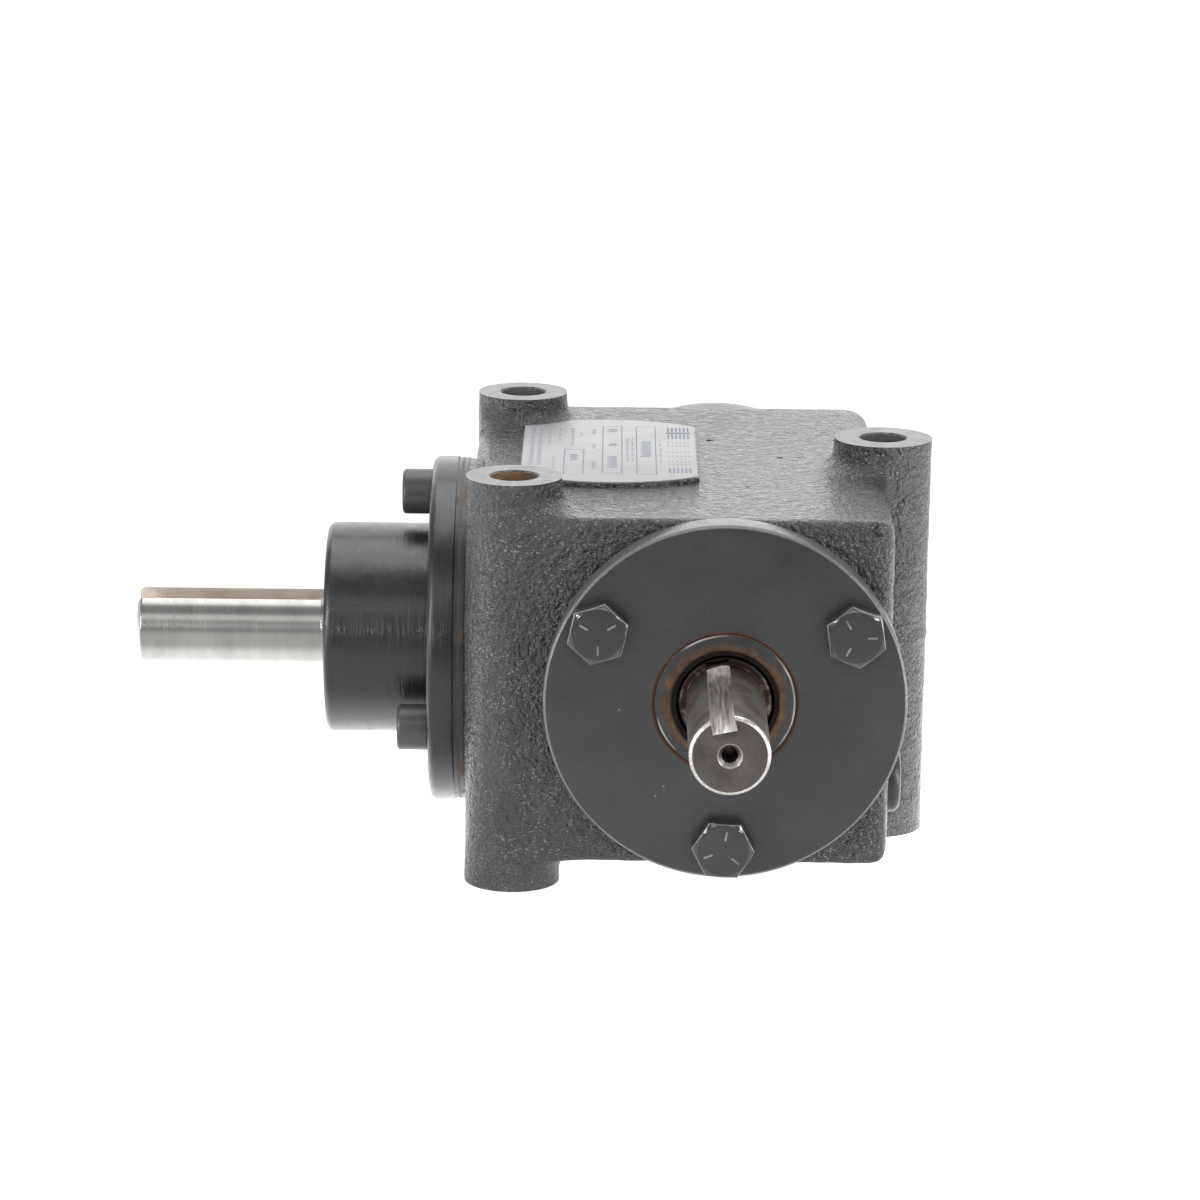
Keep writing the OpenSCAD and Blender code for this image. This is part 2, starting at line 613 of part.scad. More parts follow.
washer_t = 0.85;
nut_x0 = outer_cup_x - small_bearing[2] - washer_t;     // inner face of the lock nut
nut_t = 3.3;
input_end_x = -12.6;
ring_x = -gear_front;
module input_shaft() color(steel) {
    chamfer = 0.8;
    step_x = -84.2;
    thread_r = 8.6;
    journal_end_x = -76.5;
    seat_r = small_bearing[0] / 2;
    difference() {
        along_x() turned([[0, -input_reach], [shaft_d / 2 - chamfer, -input_reach],
            [shaft_d / 2, -input_reach + chamfer], [shaft_d / 2, step_x], [input_journal_r, step_x],
            [input_journal_r, journal_end_x], [thread_r, journal_end_x], [thread_r, nut_x0 + 1],
            [seat_r, nut_x0 + 1], [seat_r, -pinion_back], [shaft_d / 2, -pinion_back],
            [shaft_d / 2, ring_x], [shaft_d / 2 - 0.5, ring_x], [shaft_d / 2 - 0.5, ring_x + 1.15],
            [shaft_d / 2, ring_x + 1.15], [shaft_d / 2, input_end_x - 0.4], [shaft_d / 2 - 0.4, input_end_x],
            [0, input_end_x]]);
        translate([-input_reach, 0, axis_z]) rotate([input_keyway_turn, 0, 0]) rotate([90, 0, 90])
            keyway(32.5, cutter_r);
        translate([-input_reach, 0, axis_z]) rotate([0, 90, 0]) centre_hole();
        translate([0, 0, axis_z]) rotate([0, -90, 0]) key_block(shaft_d, gear_key_from, gear_key_to);
    }
}

// retaining ring in the groove at the pinion's front, open on one side
module pinion_ring() color(dark_steel) along_x() difference() {
    ring(shaft_d / 2 + 1.6, shaft_d / 2 - 0.48, ring_x, ring_x + 1.1);
    translate([-1.5, 0, ring_x - 1]) cube([3, 15, 4]);
}

module lock_washer() color(steel) along_x() difference() {
    ring(12.9, small_bearing[0] / 2, nut_x0, nut_x0 + washer_t);
    for (a = [0:60:300]) rotate([0, 0, a]) translate([11.6, -0.8, nut_x0 - 1]) cube([4, 1.6, 3]);
}

module lock_nut() color(dark_steel) along_x() difference() {
    ring(13.2, 8.6, nut_x0 - nut_t, nut_x0);
    for (a = [0:90:270]) rotate([0, 0, a]) translate([11.4, -1.6, nut_x0 - nut_t - 1]) cube([4, 3.2, 8]);
}

// moves a sub-part so that the origin is the centre of the right boss's hole, at its foot
module placed() translate([-box_right, 0, 0]) children();

placed() housing();
placed() nameplate();
placed() fill_plug();
placed() drain_plug();
placed() front_gasket();
placed() front_cap();
placed() front_cap_bolts();
placed() rear_gasket();
placed() rear_cap();
placed() rear_cap_bolts();
placed() housing_gasket();
placed() shim();
placed() carrier_gasket();
placed() input_carrier();
placed() carrier_screws();
placed() output_seal_case();
placed() output_seal_lip();
placed() output_seal_spring();
placed() input_seal_case();
placed() input_seal_lip();
placed() input_seal_spring();
placed() front_bearing_cup();
placed() rear_bearing_cup();
placed() inner_bearing_cup();
placed() outer_bearing_cup();
placed() output_shaft();
placed() output_gear();
placed() gear_key();
placed() gear_spacer();
placed() front_bearing_cone();
placed() rear_bearing_cone();
placed() input_shaft();
placed() pinion();
placed() pinion_key();
placed() pinion_ring();
placed() inner_bearing_cone();
placed() outer_bearing_cone();
placed() lock_washer();
placed() lock_nut();
placed() front_bearing_cage();
placed() front_bearing_rollers();
placed() rear_bearing_cage();
placed() rear_bearing_rollers();
placed() inner_bearing_cage();
placed() inner_bearing_rollers();
placed() outer_bearing_cage();
placed() outer_bearing_rollers();
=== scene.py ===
import json
import math

import bmesh
import bpy
from mathutils import Matrix, Vector, noise


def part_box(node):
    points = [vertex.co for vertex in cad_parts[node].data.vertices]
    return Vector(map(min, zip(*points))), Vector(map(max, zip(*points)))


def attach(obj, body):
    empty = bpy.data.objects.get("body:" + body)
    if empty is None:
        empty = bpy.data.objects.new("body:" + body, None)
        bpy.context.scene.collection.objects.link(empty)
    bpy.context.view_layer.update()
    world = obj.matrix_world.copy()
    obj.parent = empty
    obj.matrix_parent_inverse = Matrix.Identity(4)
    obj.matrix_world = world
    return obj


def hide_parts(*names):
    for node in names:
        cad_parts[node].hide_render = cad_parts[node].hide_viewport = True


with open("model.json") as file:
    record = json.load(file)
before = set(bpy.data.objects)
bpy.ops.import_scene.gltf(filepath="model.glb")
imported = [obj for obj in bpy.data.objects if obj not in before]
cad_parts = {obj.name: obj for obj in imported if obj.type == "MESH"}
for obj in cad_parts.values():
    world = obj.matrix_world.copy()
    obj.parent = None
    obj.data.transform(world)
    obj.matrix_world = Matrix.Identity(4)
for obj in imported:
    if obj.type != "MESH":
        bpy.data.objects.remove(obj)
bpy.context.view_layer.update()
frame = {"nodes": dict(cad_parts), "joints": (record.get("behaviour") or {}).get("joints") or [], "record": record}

MM = 0.001
UP = Vector((0, 0, 1))

# ---- measures taken from the frame, in millimetres ----


def low(node, axis):
    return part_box(node)[0][axis] / MM


def high(node, axis):
    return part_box(node)[1][axis] / MM


def mount(name):
    return next(m for m in frame["record"]["mounts"] if m["name"] == name)


X, Y, Z = 0, 1, 2
PLUG_DEPTH = 8.0                        # how far a pipe plug reaches into the right wall
PAD_HEIGHT = 0.9                        # how far the left pad stands out from the box
AXIS_X = frame["joints"][0]["pos_m"][X] / MM
AXIS_Z = frame["joints"][0]["pos_m"][Z] / MM
TOP_Z = high("housing", Z)
FRONT_Y = high("front_gasket", Y)
REAR_Y = low("rear_gasket", Y)
LEFT_X = high("housing_gasket", X)
RIGHT_X = low("drain_plug", X) + PLUG_DEPTH
BOX_LEFT = LEFT_X + PAD_HEIGHT
HALF_BOX = 36.0
CAP_R = high("front_cap", X) - AXIS_X
BOLT_CIRCLE_R = 29.65
SHAFT_R = mount("output_shaft_end")["dims"]["r_mm"]
HOLE_R = mount("right_boss_hole")["dims"]["r_mm"]
RIGHT_BOSS = [v / MM for v in mount("right_boss_hole")["pos_m"][:2]]
LEFT_BOSS_MID = [v / MM for v in mount("left_boss_holes")["pos_m"][:2]]
BOSS_SPACING = mount("left_boss_holes")["dims"]["spacing_y_mm"]
FRONT_BOSS = (LEFT_BOSS_MID[0], LEFT_BOSS_MID[1] - BOSS_SPACING / 2)
REAR_BOSS = (LEFT_BOSS_MID[0], LEFT_BOSS_MID[1] + BOSS_SPACING / 2)
BOSS_R = 9.6
RIGHT_BOSS_R = 10.1
BOSSES = ((FRONT_BOSS, BOSS_R), (REAR_BOSS, BOSS_R), (RIGHT_BOSS, RIGHT_BOSS_R))
CAP_BOLT_ANGLES = (150, 30, 270)
CARRIER_SCREW_ANGLES = (90, -30, 210)
BIG_BORE_R = high("front_bearing_cup", X) - AXIS_X
PILOT_R = 23.8
HUB_R = 22.225
THREAD_R = 3.175                        # every bolt and screw is 1/4 in
OUTPUT_JOURNAL_R = 9.525
INPUT_JOURNAL_R = 8.334
OUTPUT_LIP_R = 10.65
INPUT_LIP_R = 10.3
SEAL_R = 14.2875

# ---- mesh helpers: shapes are made in millimetres, then placed in metres ----


def placing(origin, out):
    """Local +Z leaves the housing along out, and local +Y stays up."""
    out = Vector(out)
    side = UP.cross(out)
    m = Matrix((side, UP, out)).transposed().to_4x4()
    m.translation = Vector(origin)
    return m


ON_FRONT = placing((AXIS_X, FRONT_Y, AXIS_Z), (0, -1, 0))
ON_REAR = placing((AXIS_X, REAR_Y, AXIS_Z), (0, 1, 0))
ON_LEFT = placing((LEFT_X, 0, AXIS_Z), (-1, 0, 0))
ALONG_Y = placing((AXIS_X, 0, AXIS_Z), (0, 1, 0))
ALONG_X = placing((0, 0, AXIS_Z), (1, 0, 0))
FLAT = Matrix.Identity(4)


def on_right(y, z):
    return placing((RIGHT_X, y, z), (1, 0, 0))


def turned_by(degrees, axis="Z"):
    return Matrix.Rotation(math.radians(degrees), 4, axis)


def around(angles, radius=BOLT_CIRCLE_R):
    """Places on a bolt circle, each with its own axes left upright."""
    return [Matrix.Translation((radius * math.cos(math.radians(a)), radius * math.sin(math.radians(a)), 0))
            for a in angles]


def new_object(name, bm):
    mesh = bpy.data.meshes.new(name)
    bmesh.ops.recalc_face_normals(bm, faces=bm.faces)
    bm.to_mesh(mesh)
    bm.free()
    ob = bpy.data.objects.new(name, mesh)
    bpy.context.scene.collection.objects.link(ob)
    return ob


def softened(profile):
    """Rounds each corner of a [radius, z, round] profile that asks for it."""
    points = []
    for i, corner in enumerate(profile):
        if len(corner) < 3 or i in (0, len(profile) - 1):
            points.append(Vector(corner[:2]))
            continue
        here = Vector(corner[:2])
        to_last = Vector(profile[i - 1][:2]) - here
        to_next = Vector(profile[i + 1][:2]) - here
        reach = min(corner[2], 0.48 * to_last.length, 0.48 * to_next.length)
        start = here + to_last.normalized() * reach
        end = here + to_next.normalized() * reach
        steps = 5
        for k in range(steps + 1):
            t = k / steps
            points.append((1 - t) ** 2 * start + 2 * t * (1 - t) * here + t * t * end)
    return points


def lathe(name, profile, steps=160, closed=False):
    """Turns a profile about Z. Ends on the axis are closed to a point; a closed profile makes a ring."""
    points = softened(profile)
    bm = bmesh.new()
    rings = []
    for p in points:
        if p.x < 1e-6:
            rings.append([bm.verts.new((0, 0, p.y))])
        else:
            rings.append([bm.verts.new((p.x * math.cos(a), p.x * math.sin(a), p.y))
                          for a in (2 * math.pi * k / steps for k in range(steps))])
    pairs = list(zip(rings, rings[1:]))
    if closed:
        pairs.append((rings[-1], rings[0]))
    for a, b in pairs:
        for k in range(steps):
            j = (k + 1) % steps
            if len(a) == 1 and len(b) > 1:
                bm.faces.new((a[0], b[k], b[j]))
            elif len(b) == 1 and len(a) > 1:
                bm.faces.new((a[k], a[j], b[0]))
            elif len(a) > 1:
                bm.faces.new((a[k], a[j], b[j], b[k]))
    return new_object(name, bm)


def prism(name, points, z0, z1):
    """A flat outline raised from z0 to z1."""
    bm = bmesh.new()
    bottom = [bm.verts.new((x, y, z0)) for x, y in points]
    top = [bm.verts.new((x, y, z1)) for x, y in points]
    n = len(points)
    bm.faces.new(bottom)
    bm.faces.new(top)
    for k in range(n):
        j = (k + 1) % n
        bm.faces.new((bottom[k], bottom[j], top[j], top[k]))
    return new_object(name, bm)


def block(name, corner_a, corner_b):
    (x0, y0, z0), (x1, y1, z1) = corner_a, corner_b
    return prism(name, [(x0, y0), (x1, y0), (x1, y1), (x0, y1)], z0, z1)


def rod(name, radius, z0, z1, steps=96):
    return lathe(name, [(0, z0), (radius, z0), (radius, z1), (0, z1)], steps)


def hexagon(radius):
    return [(radius * math.cos(a), radius * math.sin(a)) for a in (2 * math.pi * k / 6 for k in range(6))]


def moved(ob, *matrices):
    for m in matrices:
        ob.data.transform(m)
    return ob


def joined(name, parts):
    """One mesh from several, keeping each part's own faces."""
    bm = bmesh.new()
    for part in parts:
        bm.from_mesh(part.data)
        bpy.data.objects.remove(part)
    return new_object(name, bm)


def baked(ob):
    """Applies the object's modifiers."""
    depsgraph = bpy.context.evaluated_depsgraph_get()
    mesh = bpy.data.meshes.new_from_object(ob.evaluated_get(depsgraph))
    old = ob.data
    ob.modifiers.clear()
    ob.data = mesh
    bpy.data.meshes.remove(old)
    return ob


def combine(ob, tools, operation="DIFFERENCE"):
    """Cuts, joins or intersects ob with each tool in turn; the tools are used up."""
    for tool in tools:
        mod = ob.modifiers.new("tool", "BOOLEAN")
        mod.operation = operation
        mod.solver = "MANIFOLD"
        mod.object = tool
        baked(ob)
        bpy.data.objects.remove(tool)
    return ob


def bevelled(ob, width, segments=3, angle=35):
    mod = ob.modifiers.new("edges", "BEVEL")
    mod.width = width
    mod.segments = segments
    mod.limit_method = "ANGLE"
    mod.angle_limit = math.radians(angle)
    return baked(ob)


def smooth(ob, angle=32):
    for p in ob.data.polygons:
        p.use_smooth = True
    ob.data.set_sharp_from_angle(angle=math.radians(angle))
    return ob


def finished(ob, place, body, nodes, material):
    """Places a millimetre shape in the frame, gives it its body and its looks, and hides the nodes it stands for.
    """
    moved(ob, place, Matrix.Scale(MM, 4))
    ob.data.materials.clear()
    for m in material if isinstance(material, (list, tuple)) else [material]:
        ob.data.materials.append(m)
    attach(ob, body)
    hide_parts(*nodes)
    return ob


# ---- materials ----


class Nodes:
    """Small helper for building a material's nodes around one Principled shader."""

    def __init__(self, name):
        self.material = bpy.data.materials.new(name)
        self.material.use_nodes = True
        self.tree = self.material.node_tree
        self.shader = self.tree.nodes["Principled BSDF"]
        self.coords = self.tree.nodes.new("ShaderNodeTexCoord").outputs["Object"]

    def set(self, **values):
        for name, value in values.items():
            self.shader.inputs[name.replace("_", " ")].default_value = value

    def link(self, output, socket):
        self.tree.links.new(output, socket)

    def to(self, output, name):
        self.link(output, self.shader.inputs[name])

    def scaled(self, scale):
        node = self.tree.nodes.new("ShaderNodeMapping")
        node.inputs["Scale"].default_value = scale
        self.link(self.coords, node.inputs["Vector"])
        return node.outputs["Vector"]

    def noise(self, scale, detail, rough, vector=None):
        node = self.tree.nodes.new("ShaderNodeTexNoise")
        node.inputs["Scale"].default_value = scale
        node.inputs["Detail"].default_value = detail
        node.inputs["Roughness"].default_value = rough
        self.link(vector or self.coords, node.inputs["Vector"])
        return node.outputs["Fac"]

    def cells(self, scale, vector=None):
        node = self.tree.nodes.new("ShaderNodeTexVoronoi")
        node.inputs["Scale"].default_value = scale
        self.link(vector or self.coords, node.inputs["Vector"])
        return node.outputs["Distance"]

    def ramp(self, value, stops):
        """stops: (position, colour or grey)."""
        node = self.tree.nodes.new("ShaderNodeValToRGB")
        elements = node.color_ramp.elements
        while len(elements) < len(stops):
            elements.new(0.5)
        for element, (position, colour) in zip(elements, stops):
            grey = isinstance(colour, (int, float))
            element.position = position
            element.color = (colour, colour, colour, 1) if grey else (*colour, 1)
        self.link(value, node.inputs["Fac"])
        return node.outputs["Color"]

    def math(self, operation, a, b=0.0):
        node = self.tree.nodes.new("ShaderNodeMath")
        node.operation = operation
        for socket, value in zip(node.inputs, (a, b)):
            if isinstance(value, (int, float)):
                socket.default_value = value
            else:
                self.link(value, socket)
        return node.outputs["Value"]

    def share(self, value, start, span):
        """0 at start and 1 at start + span."""
        return self.math("DIVIDE", self.math("SUBTRACT", value, start), span)

    def wander(self, scale, reach):
        """A slow wandering either side of zero."""
        return self.math("MULTIPLY", self.math("SUBTRACT", self.noise(scale, 4, 0.6), 0.5), reach)

    def along(self, axis, vector=None):
        node = self.tree.nodes.new("ShaderNodeSeparateXYZ")
        self.link(vector or self.coords, node.inputs[0])
        return node.outputs[axis]

    def mix(self, factor, a, b):
        """a where the factor is 0, b where it is 1."""
        node = self.tree.nodes.new("ShaderNodeMix")
        node.data_type = "RGBA"
        for socket, value in ((node.inputs[0], factor), (node.inputs[6], a), (node.inputs[7], b)):
            if isinstance(value, (int, float)):
                socket.default_value = value
            elif isinstance(value, tuple):
                socket.default_value = (*value, 1)
            else:
                self.link(value, socket)
        return node.outputs[2]

    def bump(self, height, strength, distance_mm, previous=None):
        node = self.tree.nodes.new("ShaderNodeBump")
        node.inputs["Strength"].default_value = strength
        node.inputs["Distance"].default_value = distance_mm * MM
        self.link(height, node.inputs["Height"])
        if previous:
            self.link(previous, node.inputs["Normal"])
        return node.outputs["Normal"]

    def radius_from(self, place):
        """Distance from a placed axis, in metres."""
        inverse = place.inverted()
        node = self.tree.nodes.new("ShaderNodeMapping")
        node.inputs["Rotation"].default_value = inverse.to_euler()
        node.inputs["Location"].default_value = inverse.translation * MM
        self.link(self.coords, node.inputs["Vector"])
        across, up = (self.along(axis, node.outputs["Vector"]) for axis in (X, Y))
        squares = self.math("ADD", self.math("MULTIPLY", across, across), self.math("MULTIPLY", up, up))
        return self.math("SQRT", squares)


def grey(value):
    return (value, value, value)


def on_axis(place):
    """Which of X, Y and Z the axis of place runs along."""
    return [abs(v) > 0.5 for v in place.to_3x3() @ Vector((0, 0, 1))]


PAINT_DARK = (0.017, 0.017, 0.018)
PAINT_LIGHT = (0.029, 0.030, 0.031)


def cast_paint():
    """Thin enamel over sand-cast iron: lumps and small open pits, grain peaks painted lighter as paint wear and
    partly as painted glints, and pale specks that are painted glints.
    """
    n = Nodes("cast_paint")
    n.set(Metallic=0.0, Specular_IOR_Level=0.75)
    tone = n.ramp(n.noise(70, 5, 0.6), [(0.3, PAINT_DARK), (0.72, PAINT_LIGHT)])
    grains = n.noise(1150, 3, 0.55)
    patches = n.ramp(n.noise(110, 3, 0.6), [(0.44, 0.0), (0.60, 1.0)])
    # lighter grain peaks: paint wear, and partly a painted glint on the grains' tops
    worn_and_glint_peaks = n.math("MULTIPLY", n.ramp(grains, [(0.57, 0.0), (0.66, 1.0)]), patches)
    tone = n.mix(worn_and_glint_peaks, tone, grey(0.055))
    # pale specks painted into the colour as glints of light on the enamel
    painted_glints = n.math("MULTIPLY", n.ramp(n.cells(1.0, n.scaled([900, 1300, 1800])), [(0.14, 1.0), (0.25, 0.0)]),
                    n.ramp(n.noise(170, 3, 0.6), [(0.42, 0.0), (0.54, 1.0)]))
    n.to(n.mix(painted_glints, tone, grey(0.21)), "Base Color")
    n.to(n.ramp(n.noise(600, 3, 0.6), [(0.3, 0.08), (0.7, 0.26)]), "Roughness")
    lumps = n.bump(n.noise(380, 3, 0.5), 1.0, 0.9)
    grain = n.bump(grains, 1.0, 0.80, lumps)
    pits = n.ramp(n.cells(620), [(0.0, 0.0), (0.38, 1.0)])
    n.to(n.bump(pits, 0.5, 0.20, grain), "Normal")
    return n.material


def smooth_paint(name, orange_peel=0.22, turned_along=None, rings=(), tone=0.030):
    """Enamel over a machined face. turned_along adds the tool marks that run round that axis, and
    each of the rings (place, inner radius, outer radius, colour) a corner with paint wear, rust or painted
    highlight."""
    n = Nodes(name)
    n.set(Metallic=0.0, Specular_IOR_Level=0.55)
    colour = n.ramp(n.noise(55, 4, 0.6), [(0.3, (tone * 0.77, tone * 0.79, tone * 0.82)),
                                          (0.75, (tone * 1.23, tone * 1.26, tone * 1.29))])
    specks = n.math("MULTIPLY", n.ramp(n.cells(240), [(0.03, 1.0), (0.06, 0.0)]),
                    n.ramp(n.noise(35, 2, 0.5), [(0.55, 0.0), (0.62, 1.0)]))
    colour = n.mix(specks, colour, grey(0.22))
    for place, inner, outer, corner in rings:
        across = n.share(n.radius_from(place), inner * MM, (outer - inner) * MM)
        colour = n.mix(n.ramp(across, [(0.0, 0.0), (0.25, 1.0), (0.8, 1.0), (1.0, 0.0)]), colour, corner)
    n.to(colour, "Base Color")
    n.to(n.ramp(n.noise(240, 4, 0.6), [(0.3, 0.22), (0.75, 0.38)]), "Roughness")
    peel = n.bump(n.noise(420, 2, 0.45), orange_peel, 0.10)
    peel = n.bump(n.noise(2600, 2, 0.5), 0.10, 0.02, peel)
    if turned_along:
        marks = n.noise(1.0, 4, 0.6, n.scaled([1500 if a == turned_along else 110 for a in "XYZ"]))
        peel = n.bump(marks, 0.75, 0.16, peel)
    n.to(peel, "Normal")
    return n.material


def machined_paint():
    """The bosses' faces: milled, with a thin even coat."""
    n = Nodes("machined_paint")
    n.set(Metallic=0.0, Specular_IOR_Level=0.6)
    n.to(n.ramp(n.noise(160, 5, 0.6), [(0.3, 0.085), (0.75, 0.125)]), "Base Color")
    n.to(n.ramp(n.noise(500, 3, 0.6), [(0.3, 0.30), (0.75, 0.44)]), "Roughness")
    n.to(n.bump(n.noise(1500, 3, 0.6), 0.2, 0.02), "Normal")
    return n.material


def rusty_bore():
    n = Nodes("rusty_bore")
    n.set(Metallic=0.0)
    spots = n.noise(420, 5, 0.65)
    n.to(n.ramp(spots, [(0.32, (0.10, 0.065, 0.04)), (0.55, (0.21, 0.115, 0.055)),
                        (0.75, (0.30, 0.21, 0.15))]), "Base Color")
    n.to(n.ramp(spots, [(0.3, 0.45), (0.7, 0.8)]), "Roughness")
    n.to(n.bump(n.noise(1800, 4, 0.6), 0.4, 0.05), "Normal")
    return n.material


def turned_steel(name, place, bright, dull, roughness, stains=None, grease=None):
    """Ground or turned steel: fine lines run round the axis of place. grease (clean up to, dirty from,
    colour) darkens it further along that axis."""
    n = Nodes(name)
    n.set(Metallic=1.0)
    lines = n.noise(1.0, 3, 0.5, n.scaled([4200 if a else 30 for a in on_axis(place)]))
    broad = n.noise(1.0, 3, 0.5, n.scaled([260 if a else 60 for a in on_axis(place)]))
    colour = n.ramp(broad, [(0.3, dull), (0.7, bright)])
    rough = n.ramp(lines, [(0.3, roughness - 0.03), (0.7, roughness + 0.03)])
    if stains:
        blotches = n.ramp(n.noise(120, 6, 0.7), [(0.46, 0.0), (0.70, 1.0)])
        colour = n.mix(blotches, colour, stains)
    if grease:
        clean_to, dirty_from, tone = grease
        reach = n.math("ADD", n.along(on_axis(place).index(True)), n.wander(260, 0.006))
        dirt = n.ramp(n.share(reach, clean_to * MM, (dirty_from - clean_to) * MM), [(0.0, 0.0), (1.0, 1.0)])
        colour = n.mix(dirt, colour, tone)
        rough = n.mix(dirt, rough, grey(0.42))
    n.to(colour, "Base Color")
    n.to(rough, "Roughness")
    n.to(n.bump(lines, 0.06, 0.006), "Normal")
    return n.material


def faced_steel(name, place, dark, light):
    """A shaft's end, faced in a lathe: fine rings round its centre, dulled by handling."""
    n = Nodes(name)
    n.set(Metallic=0.9)
    n.to(n.ramp(n.noise(175, 4, 0.6), [(0.3, dark), (0.7, light)]), "Base Color")
    n.to(n.ramp(n.noise(700, 3, 0.6), [(0.3, 0.28), (0.7, 0.42)]), "Roughness")
    grooves = n.math("SINE", n.math("MULTIPLY", n.radius_from(place), 15000))
    n.to(n.bump(n.noise(1400, 3, 0.6), 0.3, 0.03, n.bump(grooves, 0.4, 0.006)), "Normal")
    return n.material


def milled_steel(name, place, dark, light, roughness):
    """A keyway cut along the axis of place, with the cutter's marks running the same way."""
    n = Nodes(name)
    n.set(Metallic=0.9)
    marks = n.noise(1.0, 3, 0.5, n.scaled([90 if a else 1900 for a in on_axis(place)]))
    n.to(n.ramp(marks, [(0.32, dark), (0.68, light)]), "Base Color")
    n.to(n.ramp(marks, [(0.3, roughness - 0.06), (0.7, roughness + 0.06)]), "Roughness")
    n.to(n.bump(marks, 0.15, 0.02), "Normal")
    return n.material


def seal_steel(name, place, lip, rust_to, rim):
    """Pressed steel, with grease at the lip, rust round it out to rust_to, and at the rim a patchy pale
    ring that is a painted highlight and a thin rusty line in the bore's corner."""
    n = Nodes(name)
    n.set(Metallic=0.3)
    radius = n.radius_from(place)
    wander = n.wander(150, 0.0034)

    def band(part, start, span):
        """Where the radius is in a band, whose edge takes part of the wander."""
        return n.share(n.math("ADD", radius, n.math("MULTIPLY", wander, part)), start * MM, span * MM)

    near = n.math("SUBTRACT", 1.0, band(1.0, lip + 0.35, rust_to - lip - 0.35))
    rust = n.ramp(n.noise(330, 5, 0.65), [(0.3, (0.034, 0.018, 0.009)), (0.55, (0.105, 0.053, 0.020)),
                                          (0.8, (0.19, 0.115, 0.043))])
    steel = n.ramp(n.noise(200, 4, 0.6), [(0.3, (0.030, 0.030, 0.031)), (0.7, (0.052, 0.051, 0.051))])
    colour = n.mix(n.ramp(near, [(0.15, 0.0), (0.75, 1.0)]), steel, rust)
    across = band(0.1, rim - 0.9, 0.9)
    # painted highlight: a patchy pale ring along the case's rounded rim
    bright = n.math("MULTIPLY", n.ramp(across, [(0.25, 0.0), (0.45, 1.0), (0.65, 1.0), (0.75, 0.0)]),
                    n.ramp(n.noise(70, 3, 0.5), [(0.48, 0.0), (0.60, 1.0)]))
    colour = n.mix(bright, colour, (0.42, 0.41, 0.40))
    edge = n.ramp(across, [(0.72, 0.0), (0.82, 1.0)])
    colour = n.mix(edge, colour, (0.075, 0.030, 0.018))
    greasy = n.ramp(band(0.3, lip, 0.9), [(0.1, 1.0), (0.7, 0.0)])
    n.to(n.mix(greasy, colour, (0.014, 0.009, 0.007)), "Base Color")
    n.to(n.mix(greasy, n.ramp(near, [(0.2, 0.30), (0.7, 0.55)]), grey(0.85)), "Roughness")
    n.to(n.bump(n.noise(900, 3, 0.6), 0.3, 0.03), "Normal")
    return n.material


def gasket_edge(name, dark, brown, cover):
    """A gasket's edge: enamelled over in most places, with bare oiled paper in the rest."""
    n = Nodes(name)
    n.set(Metallic=0.0)
    bare = n.ramp(n.noise(45, 4, 0.6), [(cover, 0.0), (cover + 0.1, 1.0)])
    n.to(n.mix(bare, dark, brown), "Base Color")
    n.to(n.mix(bare, grey(0.35), grey(0.8)), "Roughness")
    n.to(n.bump(n.noise(1400, 4, 0.6), 0.5, 0.06), "Normal")
    return n.material


def plain(name, dark, light, rough_low, rough_high, metallic=0.0, grain=700, depth=0.03, strength=0.3,
          shine=0.5):
    """Two close tones with fine grain, for small and inner pieces."""
    n = Nodes(name)
    n.set(Metallic=metallic, Specular_IOR_Level=shine)
    n.to(n.ramp(n.noise(grain * 0.25, 4, 0.6), [(0.3, dark), (0.7, light)]), "Base Color")
    n.to(n.ramp(n.noise(grain, 3, 0.6), [(0.3, rough_low), (0.7, rough_high)]), "Roughness")
    n.to(n.bump(n.noise(grain * 2, 3, 0.6), strength, depth), "Normal")
    return n.material


CAST = cast_paint()
SMOOTH = smooth_paint("smooth_paint")
# the two pale rings at the cap's rim: paint wear, and partly a painted highlight along the rim; the brown ring by
# the seal is rust
FRONT_RINGS = ((ON_FRONT, CAP_R - 0.6, CAP_R, grey(0.14)), (ON_FRONT, CAP_R - 0.25, CAP_R + 0.5, grey(0.09)),
               (ON_FRONT, 14.1, 14.9, (0.075, 0.034, 0.020)))
FRONT_PAINT = smooth_paint("front_cap_paint", 0.22, "Y", FRONT_RINGS)
FASTENER = smooth_paint("fastener_paint", 0.3)
# lighter edge paint: partly paint wear, partly a painted highlight on the heads' edges and marks
EDGE_WEAR_AND_HIGHLIGHT = plain("edge_wear_and_highlight", grey(0.10), grey(0.26), 0.12, 0.25)
CROWN = plain("crown_paint", grey(0.018), grey(0.030), 0.08, 0.15, shine=1.0)
SCREW_STEEL = plain("screw_steel", (0.040, 0.038, 0.035), (0.066, 0.062, 0.058), 0.30, 0.45)
MACHINED = machined_paint()
RUSTY = rusty_bore()
TURNED_PAINT = smooth_paint("carrier_paint", 0.22, "X", tone=0.013)
INPUT_STEEL = turned_steel("input_steel", ALONG_X, (0.32, 0.316, 0.306), (0.26, 0.256, 0.248), 0.25)
OUTPUT_STEEL = turned_steel("output_steel", ALONG_Y, (0.66, 0.635, 0.60), (0.50, 0.465, 0.43), 0.32,
                            (0.26, 0.21, 0.17), (-61.5, -57.9, (0.034, 0.023, 0.018)))
INPUT_KEYWAY_STEEL = plain("input_keyway_steel", (0.46, 0.40, 0.35), (0.58, 0.53, 0.48), 0.3, 0.45, 0.6)
OUTPUT_KEYWAY_STEEL = milled_steel("output_keyway_steel", ALONG_Y, (0.46, 0.435, 0.41), (0.78, 0.75, 0.72),
                                   0.36)
